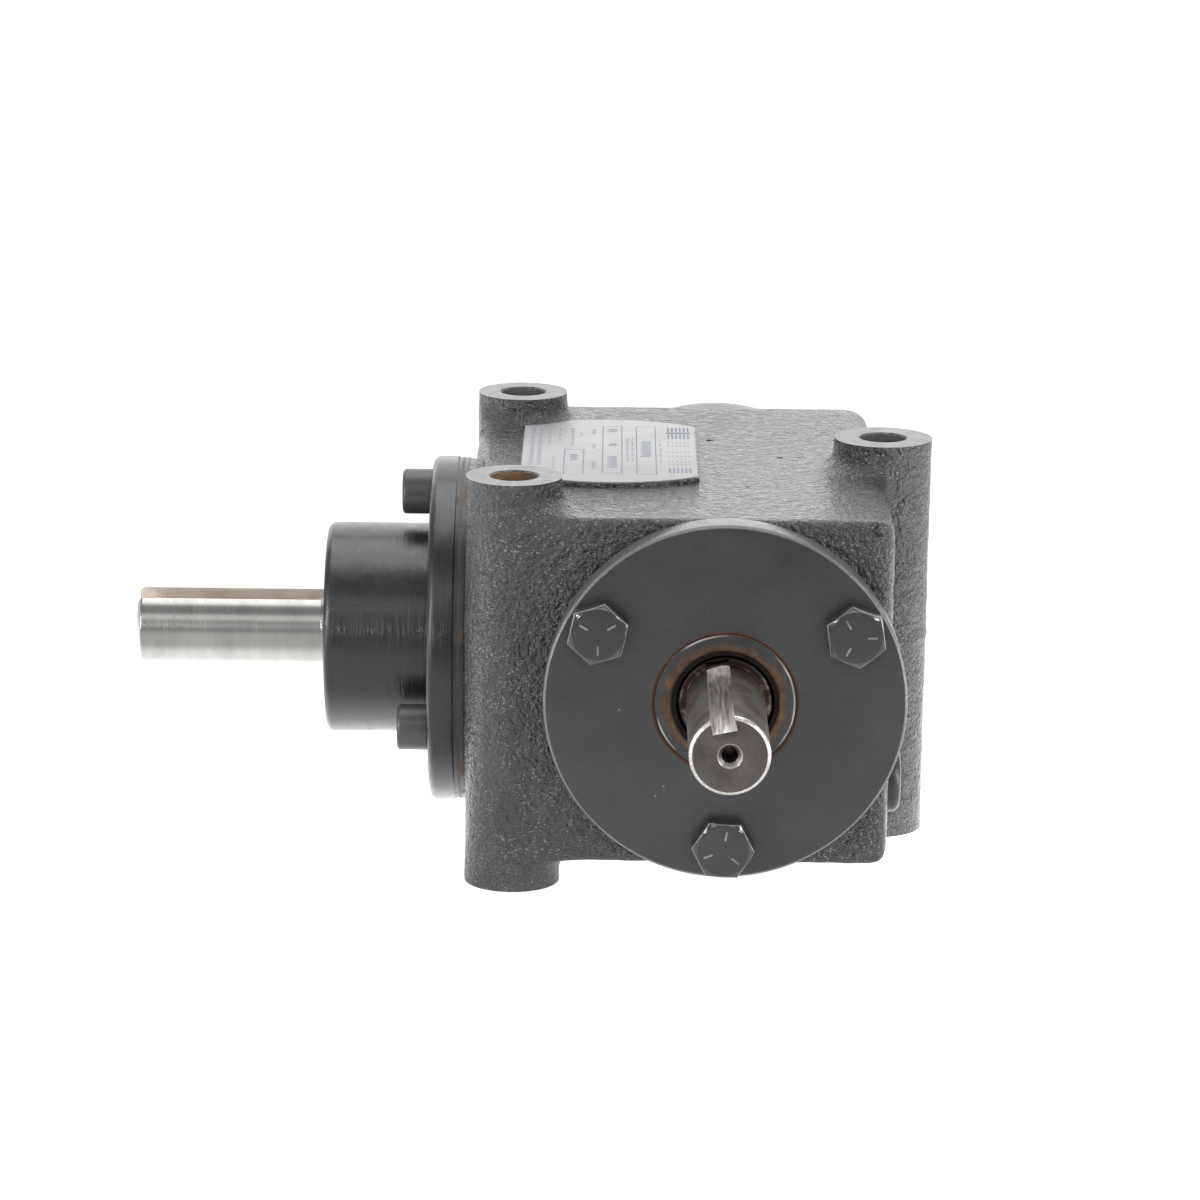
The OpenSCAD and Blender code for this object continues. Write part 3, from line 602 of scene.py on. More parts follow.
OUTPUT_END = faced_steel("output_end_steel", ALONG_Y, (0.090, 0.079, 0.071), (0.145, 0.130, 0.119))
INPUT_END = faced_steel("input_end_steel", ALONG_X, (0.090, 0.079, 0.071), (0.145, 0.130, 0.119))
OUTPUT_SEAL = seal_steel("output_seal_steel", ALONG_Y, OUTPUT_LIP_R, 13.0, SEAL_R)
INPUT_SEAL = seal_steel("input_seal_steel", ALONG_X, INPUT_LIP_R, 13.0, 19.94)
RUBBER = plain("nitrile", (0.005, 0.004, 0.003), (0.012, 0.008, 0.006), 0.45, 0.65, shine=0.1)
PAPER_BROWN = gasket_edge("oiled_paper", (0.022, 0.022, 0.023), (0.13, 0.062, 0.030), 0.56)
PAPER_DARK = gasket_edge("dark_gasket", (0.016, 0.016, 0.017), (0.055, 0.036, 0.024), 0.60)
SHIM_STEEL = plain("shim_steel", (0.020, 0.018, 0.016), (0.060, 0.050, 0.042), 0.45, 0.6, 0.2, 200)
BLACK_STEEL = plain("black_oxide", (0.020, 0.020, 0.021), (0.045, 0.045, 0.046), 0.28, 0.45, 0.3)
PLATE = plain("nameplate_foil", (0.285, 0.287, 0.291), (0.33, 0.332, 0.336), 0.42, 0.55, 0.0, 260, 0.02, 0.15)
INK = plain("nameplate_ink", (0.16, 0.17, 0.22), (0.24, 0.25, 0.31), 0.6, 0.8, shine=0.1)
GEAR_STEEL = plain("gear_steel", (0.22, 0.22, 0.215), (0.36, 0.355, 0.34), 0.2, 0.4, 1.0)
BEARING_STEEL = plain("bearing_steel", grey(0.52), (0.66, 0.66, 0.65), 0.10, 0.22, 1.0, 1200, 0.005)
CAGE_STEEL = plain("cage_steel", (0.30, 0.27, 0.21), (0.45, 0.41, 0.33), 0.3, 0.5, 1.0)

# ---- housing ----
GRAIN_MM = 0.8                          # size of the casting mesh's squares
LABEL_MARGIN = 0.4                      # how far the nameplate's pad reaches past it all round
# each machined seat: its place, its screws' angles, and how wide and deep the wall is round its bore
SEATS = ((ON_FRONT, CAP_BOLT_ANGLES, 28.5, 15.4), (ON_REAR, CAP_BOLT_ANGLES, 28.5, 15.2),
         (ON_LEFT, CARRIER_SCREW_ANGLES, PILOT_R + 5, 14.8))


def rounded_box(name, x0, x1, y0, y1, z0, z1, radius):
    """A box with rounded edges along Y."""
    corners = []
    for cx, cz, start in ((x1 - radius, z1 - radius, 0), (x0 + radius, z1 - radius, 90),
                          (x0 + radius, z0 + radius, 180), (x1 - radius, z0 + radius, 270)):
        for k in range(9):
            a = math.radians(start + 90 * k / 8)
            corners.append((cx + radius * math.cos(a), cz + radius * math.sin(a)))
    # drawn in X and -Z so that the prism's height runs along Y
    ob = prism(name, [(x, -z) for x, z in corners], y0, y1)
    return moved(ob, turned_by(-90, "X"))


def plan_tool():
    """The plan outline of the box, with rounded corners; the front left one follows the boss."""
    points = []
    x0, x1, y0, y1 = BOX_LEFT, RIGHT_X, FRONT_Y, REAR_Y
    corner_r = ((x1, y0, 3.0, 270), (x1, y1, 6.0, 0), (x0, y1, 7.0, 90), (x0, y0, BOSS_R, 180))
    for x, y, r, start in corner_r:
        cx = x - r if x == x1 else x + r
        cy = y - r if y == y1 else y + r
        for k in range(13):
            a = math.radians(start + 90 * k / 12)
            points.append((cx + r * math.cos(a), cy + r * math.sin(a)))
    return prism("plan", points, -5, TOP_Z + 5)


def label_outline(inset=0.0):
    """The outline of the nameplate's pad: straight sides with bowed front and rear edges."""
    x0 = low("nameplate", X) - LABEL_MARGIN + inset
    x1 = high("nameplate", X) + LABEL_MARGIN - inset
    side_front, side_rear, bow = -16.5 + inset, 34.0 - inset, 6.5
    mid, half = (x0 + x1) / 2, (x1 - x0) / 2
    bow_r = (half ** 2 + bow ** 2) / (2 * bow)
    reach = math.asin(half / bow_r)
    front = [(mid + bow_r * math.sin(t), side_front - bow + bow_r - bow_r * math.cos(t))
             for t in (reach * (k / 12 * 2 - 1) for k in range(13))]
    rear = [(x, side_front + side_rear - y) for x, y in reversed(front)]
    return front + rear


def boss_cutter(clearance, z0, z1):
    """Takes the bite out of the nameplate and its pad where the rear boss stands."""
    return moved(rod("bite", BOSS_R + clearance, z0, z1), Matrix.Translation((*REAR_BOSS, 0)))


def skirt(place, boss_r, z, way):
    """The fillet round a boss where it leaves the top or the underside, kept inside the box's outline."""
    fillet = 4.0
    profile = [(0, -2), (boss_r + fillet + 0.3, -2), (boss_r + fillet + 0.3, 0.1)]
    for k in range(9):
        a = math.radians(90 * k / 8)
        profile.append((boss_r + 0.1 + fillet * (1 - math.sin(a)), fillet * (1 - math.cos(a)) + 0.1))
    profile.append((0, profile[-1][1]))
    ob = lathe("skirt", profile, 72)
    moved(ob, Matrix.Diagonal((1, 1, way, 1)), Matrix.Translation((*place, z)))
    ob.data.update()
    return combine(ob, [plan_tool()], "INTERSECT")


def raw_casting():
    """Box, bosses, pads: overlapping solids made one skin, then softened as a casting is."""
    body = rounded_box("body", BOX_LEFT, RIGHT_X, FRONT_Y - 5, REAR_Y + 5,
                       AXIS_Z - HALF_BOX, AXIS_Z + HALF_BOX, 3.2)
    combine(body, [plan_tool()], "INTERSECT")
    parts = [body]
    swell = 0.22                        # the softening draws round columns in by this much
    for place, r in BOSSES:
        parts.append(moved(rod("boss", r + swell, -4, TOP_Z + 4, 72), Matrix.Translation((*place, 0))))
        parts += [skirt(place, r, AXIS_Z + HALF_BOX, 1), skirt(place, r, AXIS_Z - HALF_BOX, -1)]
    parts.append(moved(rod("rear_hump", HALF_BOX + 0.3, -9, 0.3), ON_REAR))
    ob = joined("housing_casting", parts)
    mod = ob.modifiers.new("skin", "REMESH")
    mod.mode = "VOXEL"
    mod.voxel_size = GRAIN_MM
    baked(ob)
    mod = ob.modifiers.new("soften", "SMOOTH")
    mod.factor = 0.5
    mod.iterations = 14
    return baked(ob)


def ball(name, radius, place):
    profile = [(radius * math.sin(math.pi * k / 12), -radius * math.cos(math.pi * k / 12)) for k in range(13)]
    return moved(lathe(name, profile, 32), Matrix.Translation(place))


def sand_texture(ob):
    """Sand grain, slow unevenness and the flash left along the mould's parting line."""
    for v, normal in zip(ob.data.vertices, [x.vector.copy() for x in ob.data.vertex_normals]):
        p = v.co
        grain = noise.noise(p * 0.55) * 0.07 + noise.noise(p * 0.23 + Vector((9, 2, 5))) * 0.09
        drift = noise.noise(p * 0.05 + Vector((3, 7, 1))) * 0.18
        side = 1 - abs(normal.z)
        along = 0.4 + 0.6 * max(0.0, noise.noise(p * 0.12 + Vector((1, 4, 8))) + 0.4)
        flash = 0.32 * along * math.exp(-((p.z - AXIS_Z - 0.4) / 0.75) ** 2) * max(0.0, side) ** 3
        draft = 0.9 * max(0.0, normal.z) * min(1.0, max(0.0, (p.y - REAR_Y + 30) / 30))
        v.co = p + normal * (grain + drift * 0.5 + flash) + UP * (draft if p.z < TOP_Z - 3 else 0.0)
    return ob


def cavity_tool():
    """The hollow inside, less the bosses' columns and the thicker wall round each bore and screw."""
    wall = 8.0
    z0, z1 = AXIS_Z - HALF_BOX + wall, AXIS_Z + HALF_BOX - wall
    ob = block("cavity", (BOX_LEFT + wall, FRONT_Y + wall, z0), (RIGHT_X - wall, REAR_Y - wall, z1))
    keep = [moved(rod("ring", r, -depth, 3), place) for place, _, r, depth in SEATS]
    for place, r in BOSSES:
        keep.append(moved(rod("column", r, -2, TOP_Z + 2), Matrix.Translation((*place, 0))))
    for place, angles, _, depth in SEATS:
        keep += [moved(rod("post", 6.5, -depth, 3, 48), m, place) for m in around(angles)]
    return combine(ob, keep)


def machining_tools():
    """Everything that is cut into the raw casting, each tool a closed solid."""
    far = 90
    tools = [block("top_mill", (-far, -far, TOP_Z), (far, far, TOP_Z + 30)),
             block("foot_mill", (-far, -far, -30), (far, far, 0))]
    mouth = 0.35
    for place, _ in BOSSES:
        drill = lathe("drill", [(0, -2), (HOLE_R + mouth + 2, -2), (HOLE_R, mouth), (HOLE_R, TOP_Z - mouth),
                                (HOLE_R + mouth + 2, TOP_Z + 2), (0, TOP_Z + 2)], 96)
        tools.append(moved(drill, Matrix.Translation((*place, 0))))
    tools += [moved(rod("bore", BIG_BORE_R, -20, 8, 160), ON_FRONT),
              moved(rod("bore", BIG_BORE_R, -20, 8, 160), ON_REAR),
              moved(rod("bore", PILOT_R, -18, 8, 160), ON_LEFT)]
    for place, angles, _, _ in SEATS:
        tools += [moved(rod("tap", THREAD_R, -12.2, 8, 48), m, place) for m in around(angles)]
    tools += [moved(rod("plug_hole", 6.6, -10, 6, 64), on_right(*middle(plug)))
              for plug in ("drain_plug", "fill_plug")]
    # faces on the front, rear and left, just under the parts that seat there
    tools += [moved(lathe("face", [(0, 0), (CAP_R + 0.1, 0), (CAP_R + 0.1, 6), (0, 6)]), place)
              for place, _, _, _ in SEATS]
    tools.append(cavity_tool())
    tools += [ball("pit", r, (AXIS_X + x, y, AXIS_Z + HALF_BOX + 0.25 * r))
              for x, y, r in ((-2.0, 25.0, 0.9), (12.5, 8.0, 0.7), (5.0, -20.0, 0.55))]
    return tools


def middle(plug):
    return tuple((low(plug, axis) + high(plug, axis)) / 2 for axis in (Y, Z))


def housing():
    ob = sand_texture(raw_casting())
    pad = moved(lathe("pad", [(0, -3), (CAP_R - 0.45, -3), (CAP_R - 0.45, 0), (0, 0)], 200), ON_LEFT)
    label_pad = prism("label_pad", label_outline(), AXIS_Z + HALF_BOX - 1.5, low("nameplate", Z))
    combine(label_pad, [boss_cutter(0.4, AXIS_Z, TOP_Z + 2)])
    bevelled(label_pad, 0.3, 2)
    pip = ball("pip", 1.25, (RIGHT_X - 3.3, FRONT_Y + 0.55, AXIS_Z + HALF_BOX - 2.0))
    combine(ob, [pad, label_pad, pip], "UNION")
    combine(ob, machining_tools())
    smooth(ob, 34)
    finished(ob, FLAT, "housing", ["housing"], [CAST, MACHINED, RUSTY])
    for p in ob.data.polygons:
        z = p.center.z / MM
        if abs(p.normal.z) > 0.99 and (z > TOP_Z - 0.02 or z < 0.02):
            p.material_index = 1
            continue
        for place, index in ((FRONT_BOSS, 2), (REAR_BOSS, 1), (RIGHT_BOSS, 1)):
            if math.hypot(p.center.x / MM - place[0], p.center.y / MM - place[1]) < HOLE_R + 0.1:
                p.material_index = index


# ---- caps, carrier and their fasteners ----
GASKET_T = 0.5
CAP_OUT = GASKET_T + 6.8                # outer face of the caps, from the housing
CAP_RIM = 0.6
CUP_PILOT = 2.8
SEAL_OUT = CAP_OUT - 0.3
SEAL_W = 5.5
HEAD_H = 4.1
FLANGE_OUT = 7.6                        # outer face of the carrier's flange, from the housing


def cap_holes(angles):
    return joined("holes", [moved(rod("hole", 3.4, -8, 12, 48), m) for m in around(angles)])


def front_cap():
    ob = lathe("front_end_cap", [
        (SEAL_R, CAP_OUT - 0.45, 0.1), (SEAL_R + 0.5, CAP_OUT, 0.25), (CAP_R - CAP_RIM, CAP_OUT, 0.25),
        (CAP_R, CAP_OUT - CAP_RIM, 0.25), (CAP_R, GASKET_T, 0.25), (BIG_BORE_R - 0.03, GASKET_T, 0.2),
        (BIG_BORE_R - 0.03, -CUP_PILOT, 0.3), (19, -CUP_PILOT, 0.3), (19, GASKET_T, 0.3),
        (11.5, GASKET_T, 0.2), (11.5, SEAL_OUT - SEAL_W, 0.2), (SEAL_R, SEAL_OUT - SEAL_W, 0.05)],
        240, closed=True)
    combine(ob, [cap_holes(CAP_BOLT_ANGLES)])
    smooth(ob)
    finished(ob, ON_FRONT, "housing", ["front_cap"], FRONT_PAINT)


def rear_cap():
    ob = lathe("rear_end_cap", [
        (0, CAP_OUT), (CAP_R - CAP_RIM, CAP_OUT, 0.25), (CAP_R, CAP_OUT - CAP_RIM, 0.25),
        (CAP_R, GASKET_T, 0.25), (BIG_BORE_R - 0.03, GASKET_T, 0.2), (BIG_BORE_R - 0.03, -CUP_PILOT, 0.3),
        (19, -CUP_PILOT, 0.3), (19, GASKET_T, 0.3), (0, GASKET_T)], 240)
    combine(ob, [cap_holes(CAP_BOLT_ANGLES)])
    smooth(ob)
    finished(ob, ON_REAR, "housing", ["rear_cap"], SMOOTH)


def hex_head(turn, marks_turn):
    """A hexagon head with its chamfered crown, three raised marks and the shank."""
    across, height = 11.1125, HEAD_H
    corner_r = across / math.sqrt(3)
    head = prism("head", hexagon(corner_r), 0, height)
    crown = lathe("crown", [(0, -1), (corner_r + 1, -1), (corner_r + 1, height - 1.2),
                            (across / 2 - 0.35, height), (0, height)], 120)
    combine(head, [crown], "INTERSECT")
    bevelled(head, 0.22, 3, 12)
    marks = [moved(bevelled(block("mark", (2.2, -0.24, height - 0.5), (4.2, 0.24, height + 0.18)), 0.14, 2),
                   turned_by(a + marks_turn)) for a in (30, 150, 270)]
    combine(head, marks, "UNION")
    shank = rod("shank", THREAD_R, -15.875, 0.5, 48)
    combine(head, [shank], "UNION")
    return moved(head, turned_by(turn))


def cap_bolts(name, node, place, turns):
    """turns: each head's own turn and that of its three marks. The marks and the corners' chamfers are
    painted lighter, partly as paint wear and partly as painted highlight, and the crown's edge is glossy."""
    heads = [moved(hex_head(*t), m, Matrix.Translation((0, 0, CAP_OUT)))
             for t, m in zip(turns, around(CAP_BOLT_ANGLES))]
    ob = smooth(joined(name, heads), 28)
    finished(ob, place, "housing", [node], [FASTENER, EDGE_WEAR_AND_HIGHLIGHT, CROWN])
    inverse = place.inverted()
    for p in ob.data.polygons:
        facing = (inverse.to_3x3() @ p.normal).z
        raised = (inverse @ (p.center / MM)).z > CAP_OUT + HEAD_H + 0.03
        # the marks and edge faces take the lighter paint: painted highlight and wear
        if raised or 0.15 < facing < 0.84:
            p.material_index = 1
        elif 0.15 < facing < 0.97:
            p.material_index = 2


def carrier():
    bore = high("inner_bearing_cup", Y)
    hub_out = LEFT_X - low("input_carrier", X)
    pilot_in = LEFT_X - high("input_carrier", X)
    flange_back = LEFT_X - low("carrier_gasket", X)
    rib = (LEFT_X - high("outer_bearing_cup", X), LEFT_X - low("inner_bearing_cup", X))
    ob = lathe("input_carrier_body", [
        (bore, pilot_in, 0.2), (PILOT_R - 0.02, pilot_in, 0.4), (PILOT_R - 0.02, flange_back, 0.1),
        (CAP_R, flange_back, 0.3), (CAP_R, FLANGE_OUT - 1.0, 0.7), (CAP_R - 1.0, FLANGE_OUT, 0.7),
        (HUB_R, FLANGE_OUT, 0.45), (HUB_R, hub_out - 0.9, 0.8), (HUB_R - 0.9, hub_out, 0.6),
        (bore + 0.35, hub_out, 0.1), (bore, hub_out - 0.35, 0.1), (bore, rib[0], 0.05), (17, rib[0], 0.2),
        (17, rib[1], 0.2), (bore, rib[1], 0.05)], 240, closed=True)
    combine(ob, [cap_holes(CARRIER_SCREW_ANGLES)])
    smooth(ob)
    finished(ob, ON_LEFT, "housing", ["input_carrier"], TURNED_PAINT)


def cap_screw():
    head_r, head_h = 4.7625, 6.35
    ob = lathe("screw", [(0, -19.05), (THREAD_R, -19.05, 0.3), (THREAD_R, 0, 0.1), (head_r, 0, 0.15),
                         (head_r, head_h - 0.5, 0.5), (head_r - 0.5, head_h, 0.3), (0, head_h)], 96)
    socket = prism("socket", hexagon(2.75), head_h - 3, head_h + 1)
    return combine(ob, [socket])


def carrier_screws():
    out = Matrix.Translation((0, 0, FLANGE_OUT))
    parts = [moved(cap_screw(), m, out) for m in around(CARRIER_SCREW_ANGLES)]
    ob = smooth(joined("carrier_cap_screws", parts), 28)
    finished(ob, ON_LEFT, "housing", ["carrier_screws"], SCREW_STEEL)


def pipe_plug(name, node):
    hole_r, rim_r, head_h = 6.6, 6.8, 3.0
    ob = lathe(name, [(0, -PLUG_DEPTH), (hole_r - 0.4, -PLUG_DEPTH), (hole_r, -6.5), (hole_r, 0), (rim_r, 0),
                      (rim_r, head_h - 1.0, 0.9), (rim_r - 1.0, head_h, 0.9), (0, head_h)], 96)
    combine(ob, [prism("socket", hexagon(3.665), head_h - 5, head_h + 1)])
    smooth(ob, 28)
    finished(ob, on_right(*middle(node)), "housing", [node], FASTENER)


# ---- seals ----


def seal(prefix, place, outward, case_r, lip_r, shaft_r, steel):
    """Pressed case with a turned-in face, and the rubber lip inside it."""
    z, back = outward, outward - SEAL_W
    sheet = 0.8
    case = lathe(prefix + "_case", [
        (lip_r, z - sheet, 0.1), (lip_r, z, 0.25), (case_r, z, 0.4), (case_r, back, 0.1),
        (case_r - sheet, back, 0.1), (case_r - sheet, z - sheet, 0.3)], 200, closed=True)
    finished(smooth(case), place, "housing", [prefix + "_case"], steel)
    lip = lathe(prefix + "_rubber", [
        (lip_r, z, 0.2), (lip_r, z - sheet, 0.05), (lip_r + 0.4, z - sheet, 0.05),
        (lip_r + 0.4, z - 1.8, 0.2), (shaft_r + 2, z - 1.8, 0.3), (shaft_r + 1.25, back + 1.8, 0.1),
        (shaft_r + 0.9, back + 0.3, 0.2),
        (shaft_r + 0.05, back + 1.6, 0.05), (shaft_r + 0.5, z - 2, 0.3), (shaft_r + 0.35, z, 0.15)],
        200, closed=True)
    finished(smooth(lip), place, "housing", [prefix + "_lip"], RUBBER)


# ---- shafts ----
KEYWAY_W = 4.7625
KEYWAY_DEPTH = 3.2
CUTTER_R = 19
OUTPUT_KEYWAY_TURN = -12                # both from straight up, about the shaft's own axis
INPUT_KEYWAY_TURN = 14


def keyway_tool(length):
    """Slot cutter's path: open at the shaft's end, floor parallel to the axis, run out on its radius."""
    floor_y = SHAFT_R - KEYWAY_DEPTH
    points = [(-2, floor_y)]
    steps = 16
    for k in range(steps + 1):
        a = math.acos(1 - (KEYWAY_DEPTH + 1) / CUTTER_R) * k / steps
        points.append((length + CUTTER_R * math.sin(a), floor_y + CUTTER_R * (1 - math.cos(a))))
    points.append((-2, SHAFT_R + 1))
    half = KEYWAY_W / 2
    ob = prism("keyway", points, -half, half)
    # drawn along X and Y: turn it so that it runs along Z with its opening up +Y
    return moved(ob, turned_by(-90, "Y"))


def centre_drilled(z, inward):
    """The start of a shaft's profile: the drilled centre and its countersink."""
    return [(0, z + 7.5 * inward), (1.6, z + 6.5 * inward), (1.6, z + 1.0 * inward), (2.4, z, 0.1)]


def marked(ob, place, reach):
    """Second material on the drilled end that faces out, third inside the keyway."""
    inverse = place.inverted()
    for p in ob.data.polygons:
        at = inverse @ (p.center / MM)
        flat = abs((inverse.to_3x3() @ p.normal).z) > 0.99
        if at.xy.length < 1.65 or flat and at.z < reach + 0.1:
            p.material_index = 1
        elif 2.9 < at.xy.length < SHAFT_R - 0.15 and at.z < reach + 42 and not flat:
            p.material_index = 2


def output_shaft():
    front, rear = low("output_shaft", Y), high("output_shaft", Y)
    step = -57.8
    journal = OUTPUT_JOURNAL_R
    shoulder = high("front_bearing_cone", Y)
    gear = low("output_gear", Y)
    collar = 11
    profile = centre_drilled(front, 1) + [
        (SHAFT_R - 0.6, front, 0.15), (SHAFT_R, front + 0.6, 0.2), (SHAFT_R, step, 0.3),
        (journal - 0.5, step, 0.2), (journal, step + 0.5, 0.2), (journal, shoulder, 0.1),
        (collar, shoulder, 0.3), (collar, gear, 0.3), (journal, gear, 0.1), (journal, rear - 0.8, 0.2),
        (journal - 0.8, rear, 0.2)]
    profile += list(reversed(centre_drilled(rear, -1)))
    ob = lathe("output_shaft_turned", profile, 192)
    slot = moved(keyway_tool(27.2), Matrix.Translation((0, 0, front)), turned_by(OUTPUT_KEYWAY_TURN))
    combine(ob, [slot])
    bevelled(ob, 0.12, 2, 50)
    smooth(ob, 30)
    finished(ob, ALONG_Y, "output_shaft", ["output_shaft"],
             [OUTPUT_STEEL, OUTPUT_END, OUTPUT_KEYWAY_STEEL])
    marked(ob, ALONG_Y, front)


def input_shaft():
    left, right = low("input_shaft", X), high("input_shaft", X)
    journal, thread, seat = INPUT_JOURNAL_R, 8.6, 8.73125
    step, journal_end = AXIS_X - 84.2, AXIS_X - 76.5
    nut = high("lock_nut", X)
    pinion_back, pinion_front = low("pinion", X), high("pinion", X)
    profile = centre_drilled(left, 1) + [
        (SHAFT_R - 0.8, left, 0.2), (SHAFT_R, left + 0.8, 0.25), (SHAFT_R, step, 0.2), (journal, step, 0.2),
        (journal, journal_end, 0.1), (thread, journal_end, 0.2), (thread, nut + 1, 0.1),
        (seat, nut + 1, 0.05), (seat, pinion_back, 0.1), (SHAFT_R, pinion_back, 0.1),
        (SHAFT_R, pinion_front, 0.02),
        (SHAFT_R - 0.5, pinion_front, 0.02), (SHAFT_R - 0.5, pinion_front + 1.15, 0.02),
        (SHAFT_R, pinion_front + 1.15, 0.02), (SHAFT_R, right - 0.4, 0.1), (SHAFT_R - 0.4, right, 0.1),
        (0, right)]
    ob = lathe("input_shaft_turned", profile, 192)
    slot = moved(keyway_tool(32.5), Matrix.Translation((0, 0, left)), turned_by(INPUT_KEYWAY_TURN))
    combine(ob, [slot])
    bevelled(ob, 0.12, 2, 50)
    smooth(ob, 30)
    finished(ob, ALONG_X, "input_shaft", ["input_shaft"],
             [INPUT_STEEL, INPUT_END, INPUT_KEYWAY_STEEL])
    marked(ob, ALONG_X, left)


# ---- nameplate ----


def nameplate():
    z0, z1 = low("nameplate", Z), high("nameplate", Z)
    ob = prism("nameplate_foil", label_outline(LABEL_MARGIN), z0, z1)
    combine(ob, [boss_cutter(0.8, z0 - 1, z1 + 1)])
    bevelled(ob, 0.08, 2)
    smooth(ob)
    finished(ob, FLAT, "housing", ["nameplate"], PLATE)
    print_rise = 0.012
    left = low("nameplate", X)
    bars = []

    def bar(x0, x1, y0, y1):
        bars.append(block("bar", (left + x0, y0, z1 - 0.02), (left + x1, y1, z1 + print_rise)))

    def box(x0, x1, y0, y1, w=0.22):
        bar(x0, x1, y0, y0 + w)
        bar(x0, x1, y1 - w, y1)
        bar(x0, x0 + w, y0 + w, y1 - w)
        bar(x1 - w, x1, y0 + w, y1 - w)

    def dashes(x0, x1, places, length):
        for y in places:
            bar(x0, x1, y, y + length)

    def strokes(x0, x1, y0, y1, pitch=0.9):
        """A run of thin strokes in place of a line of print."""
        for k in range(int((y1 - y0) / pitch)):
            shorter = 0.25 * (k % 3)
            bar(x0 + shorter, x1 - 0.3 * ((k + 1) % 2), y0 + k * pitch, y0 + (k + 0.5) * pitch)

    box(8.8, 13.1, -15.5, 9)
    box(16.9, 21.2, -14.5, 33)
    box(24.1, 28.4, -15.0, 33)
    for x0, x1, y0, y1 in ((1.3, 2.5, -7, 31), (3.0, 4.1, -7, 31), (5.2, 5.9, 14, 31), (7.4, 8.0, 16, 31),
                           (6.3, 7.0, -13, 2), (10.0, 10.9, 13, 31), (12.0, 12.6, 22, 26),
                           (14.6, 15.6, 25, 31), (14.6, 15.6, 10, 15), (14.6, 15.6, -10, -2),
                           (17.9, 20.2, 27, 31), (18.0, 20.2, 13, 16), (17.9, 20.2, -9, 3),
                           (21.9, 22.6, -3, 22), (23.0, 23.6, -3, 22), (25.0, 27.4, 2, 19),
                           (29.0, 29.5, -4, 19), (9.8, 11.9, -2, 5)):
        strokes(x0, x1, y0, y1)
    for k in range(6):
        x = 30.9 + 0.85 * k
        bar(x, x + 0.42, 28, 32)
        bar(x, x + 0.42, 20.5, 25)
        dashes(x, x + 0.3, (16, 13, 6.5, 2.5, -3, -5.5), 0.9)
        bar(x, x + 0.42, -13.5, -9)
    bar(30.6, 35.9, 25.6, 27.2)
    printed = joined("nameplate_rules", bars)
    moved(printed, Matrix.Scale(MM, 4))
    printed.data.materials.append(INK)
    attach(printed, "housing")


# ---- the nodes that keep their CAD shape ----


def kept_nodes():
    """Every node gets a material, also those that a piece made here stands for."""
    by_slot = {"steel": SHIM_STEEL, "gear_steel": GEAR_STEEL, "bearing_steel": BEARING_STEEL,
               "cage_steel": CAGE_STEEL, "dark_steel": BLACK_STEEL, "gasket": PAPER_DARK,
               "seal_rubber": RUBBER, "seal_steel": OUTPUT_SEAL, "label": PLATE,
               "cast_paint": CAST, "smooth_paint": SMOOTH, "painted_fastener": FASTENER}
    own = {"housing_gasket": PAPER_BROWN}
    slots = {s["node"]: s["material_slot"] for s in frame["record"]["subparts"]}
    for name, ob in frame["nodes"].items():
        ob.data.materials.clear()
        ob.data.materials.append(own.get(name, by_slot[slots[name]]))


# ---- stage, light and camera ----


def sweep_glow_painted_light():
    """White and glowing, with light painted in: brightest under the part as a painted pool of light, dimmer in
    front as the part's painted shadow and behind it, and fading far in front of it.
    """
    n = Nodes("sweep_glow_painted_light")
    n.set(Base_Color=(0.12, 0.12, 0.12, 1), Roughness=0.9, Specular_IOR_Level=0.1, Emission_Strength=2.3)
    depth = n.share(n.along(Y), -0.40, 0.80)
    # emission along Y: a painted pool of light under the part, painted shadow in front of it
    n.to(n.ramp(depth, [(0.02, 0.10), (0.22, 0.425), (0.455, 0.425),
                        (0.485, 1.0), (0.60, 1.0), (0.72, 0.425)]), "Emission Color")
    return n.material


def stage():
    """A pale floor that sweeps up behind into a pale backdrop."""
    width, front, bend, radius, height = 6.0, -3.0, 1.6, 0.8, 3.4
    line = [(front, 0.0), (bend, 0.0)]
    for k in range(1, 13):
        a = math.radians(90 * k / 12)
        line.append((bend + radius * math.sin(a), radius * (1 - math.cos(a))))
    line.append((bend + radius, height))
    bm = bmesh.new()
    rows = [[bm.verts.new((x, y, z)) for y, z in line] for x in (-width / 2, width / 2)]
    for k in range(len(line) - 1):
        bm.faces.new((rows[0][k], rows[1][k], rows[1][k + 1], rows[0][k + 1]))
    sweep = new_object("sweep", bm)
    for p in sweep.data.polygons:
        p.use_smooth = True
    sweep.data.materials.append(sweep_glow_painted_light())


def softbox(name, place, target, width, depth, radiance):
    data = bpy.data.lights.new(name, "AREA")
    data.shape = "RECTANGLE"
    data.size = width
    data.size_y = depth
    data.energy = radiance * math.pi * width * depth
    ob = bpy.data.objects.new(name, data)
    ob.visible_camera = False
    bpy.context.scene.collection.objects.link(ob)
    ob.location = place
    ob.rotation_euler = (Vector(target) - Vector(place)).to_track_quat("-Z", "Y").to_euler()


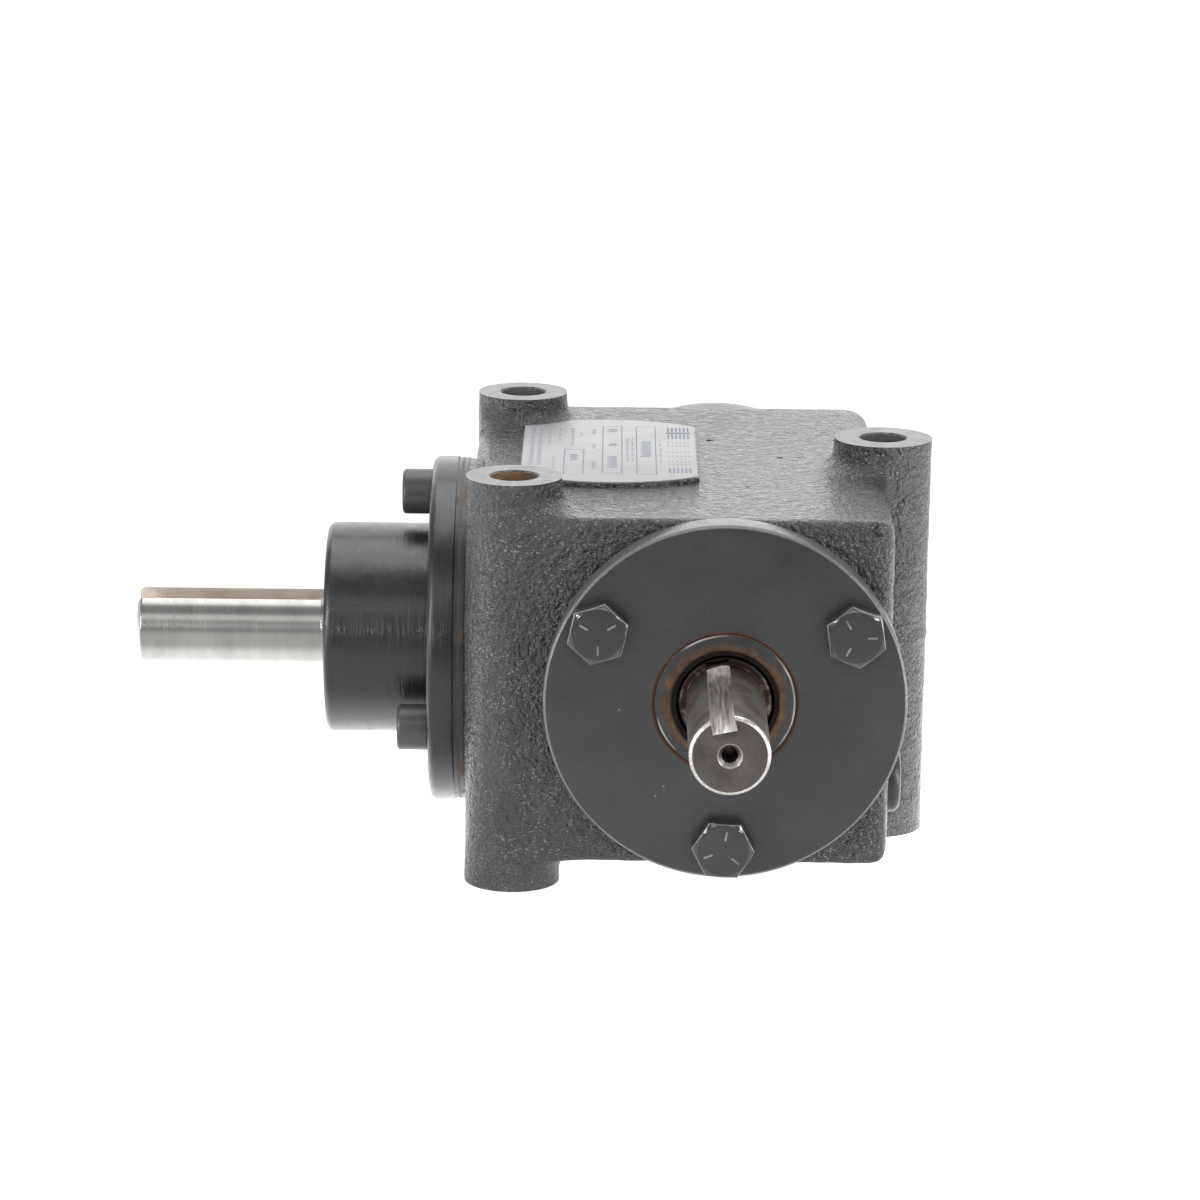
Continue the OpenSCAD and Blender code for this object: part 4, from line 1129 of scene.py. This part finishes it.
def lights():
    world = bpy.data.worlds.new("studio")
    bpy.context.scene.world = world
    world.use_nodes = True
    background = world.node_tree.nodes["Background"]
    background.inputs["Color"].default_value = (1, 1, 1, 1)
    background.inputs["Strength"].default_value = 0.45
    x = AXIS_X * MM
    mid = (x, 0, AXIS_Z * MM)
    for name, place, width, depth, radiance in (
            ("behind", (x, 1.15, 0.55), 2.0, 1.0, 0.88),
            ("overhead", (x, 0.20, 0.95), 1.0, 0.8, 3.0),
            ("front", (x, -1.4, 1.08), 1.4, 0.5, 1.45),
            ("left", (x - 0.60, -0.30, 0.22), 0.12, 0.40, 6.0),
            ("right", (x + 0.60, -0.30, 0.22), 0.12, 0.40, 9.0),
            ("left_key", (x - 0.75, -0.75, 0.50), 0.12, 0.12, 30.0),
            ("right_key", (x + 0.75, -0.75, 0.50), 0.12, 0.12, 30.0),
            ("left_spot", (x - 0.55, -1.15, 0.28), 0.10, 0.10, 40.0),
            ("right_spot", (x + 0.60, -1.05, 0.34), 0.10, 0.10, 30.0),
            ("left_edge", (x - 0.21, -0.10, 0.075), 0.02, 0.06, 18.0),
            ("right_edge", (x + 0.17, -0.06, 0.035), 0.03, 0.06, 9.0)):
        softbox(name, place, mid, width, depth, radiance)


def camera():
    target = Vector((AXIS_X * MM - 0.0254, 0, AXIS_Z * MM + 0.0064))
    distance = 0.9194
    yaw, pitch, roll = (math.radians(a) for a in (-0.10, 14.17, 0.65))
    forward = Vector((math.sin(yaw) * math.cos(pitch), math.cos(yaw) * math.cos(pitch), -math.sin(pitch)))
    side = Vector((math.cos(yaw), -math.sin(yaw), 0))
    up = side.cross(forward)
    right = side * math.cos(roll) + up * math.sin(roll)
    top = up * math.cos(roll) - side * math.sin(roll)
    data = bpy.data.cameras.new("camera")
    data.sensor_width = 36
    data.lens = 129.73
    data.clip_start = 0.01
    data.clip_end = 20
    ob = bpy.data.objects.new("camera", data)
    bpy.context.scene.collection.objects.link(ob)
    m = Matrix((right, top, -forward)).transposed().to_4x4()
    m.translation = target - forward * distance
    ob.matrix_world = m
    bpy.context.scene.camera = ob


camera()
stage()
lights()
bpy.context.scene.view_settings.view_transform = "Standard"

kept_nodes()
housing()
front_cap()
rear_cap()
cap_bolts("front_hex_bolts", "front_cap_bolts", ON_FRONT, ((17.7, -17), (38, 53), (-3, 53)))
cap_bolts("rear_hex_bolts", "rear_cap_bolts", ON_REAR, ((8, 0), (-14, 40), (25, 75)))
carrier()
carrier_screws()
pipe_plug("drain_pipe_plug", "drain_plug")
pipe_plug("fill_pipe_plug", "fill_plug")
seal("output_seal", ON_FRONT, SEAL_OUT, SEAL_R, OUTPUT_LIP_R, OUTPUT_JOURNAL_R, OUTPUT_SEAL)
seal("input_seal", ON_LEFT, LEFT_X - low("input_seal_case", X), high("inner_bearing_cup", Y), INPUT_LIP_R,
     INPUT_JOURNAL_R, INPUT_SEAL)
output_shaft()
input_shaft()
nameplate()
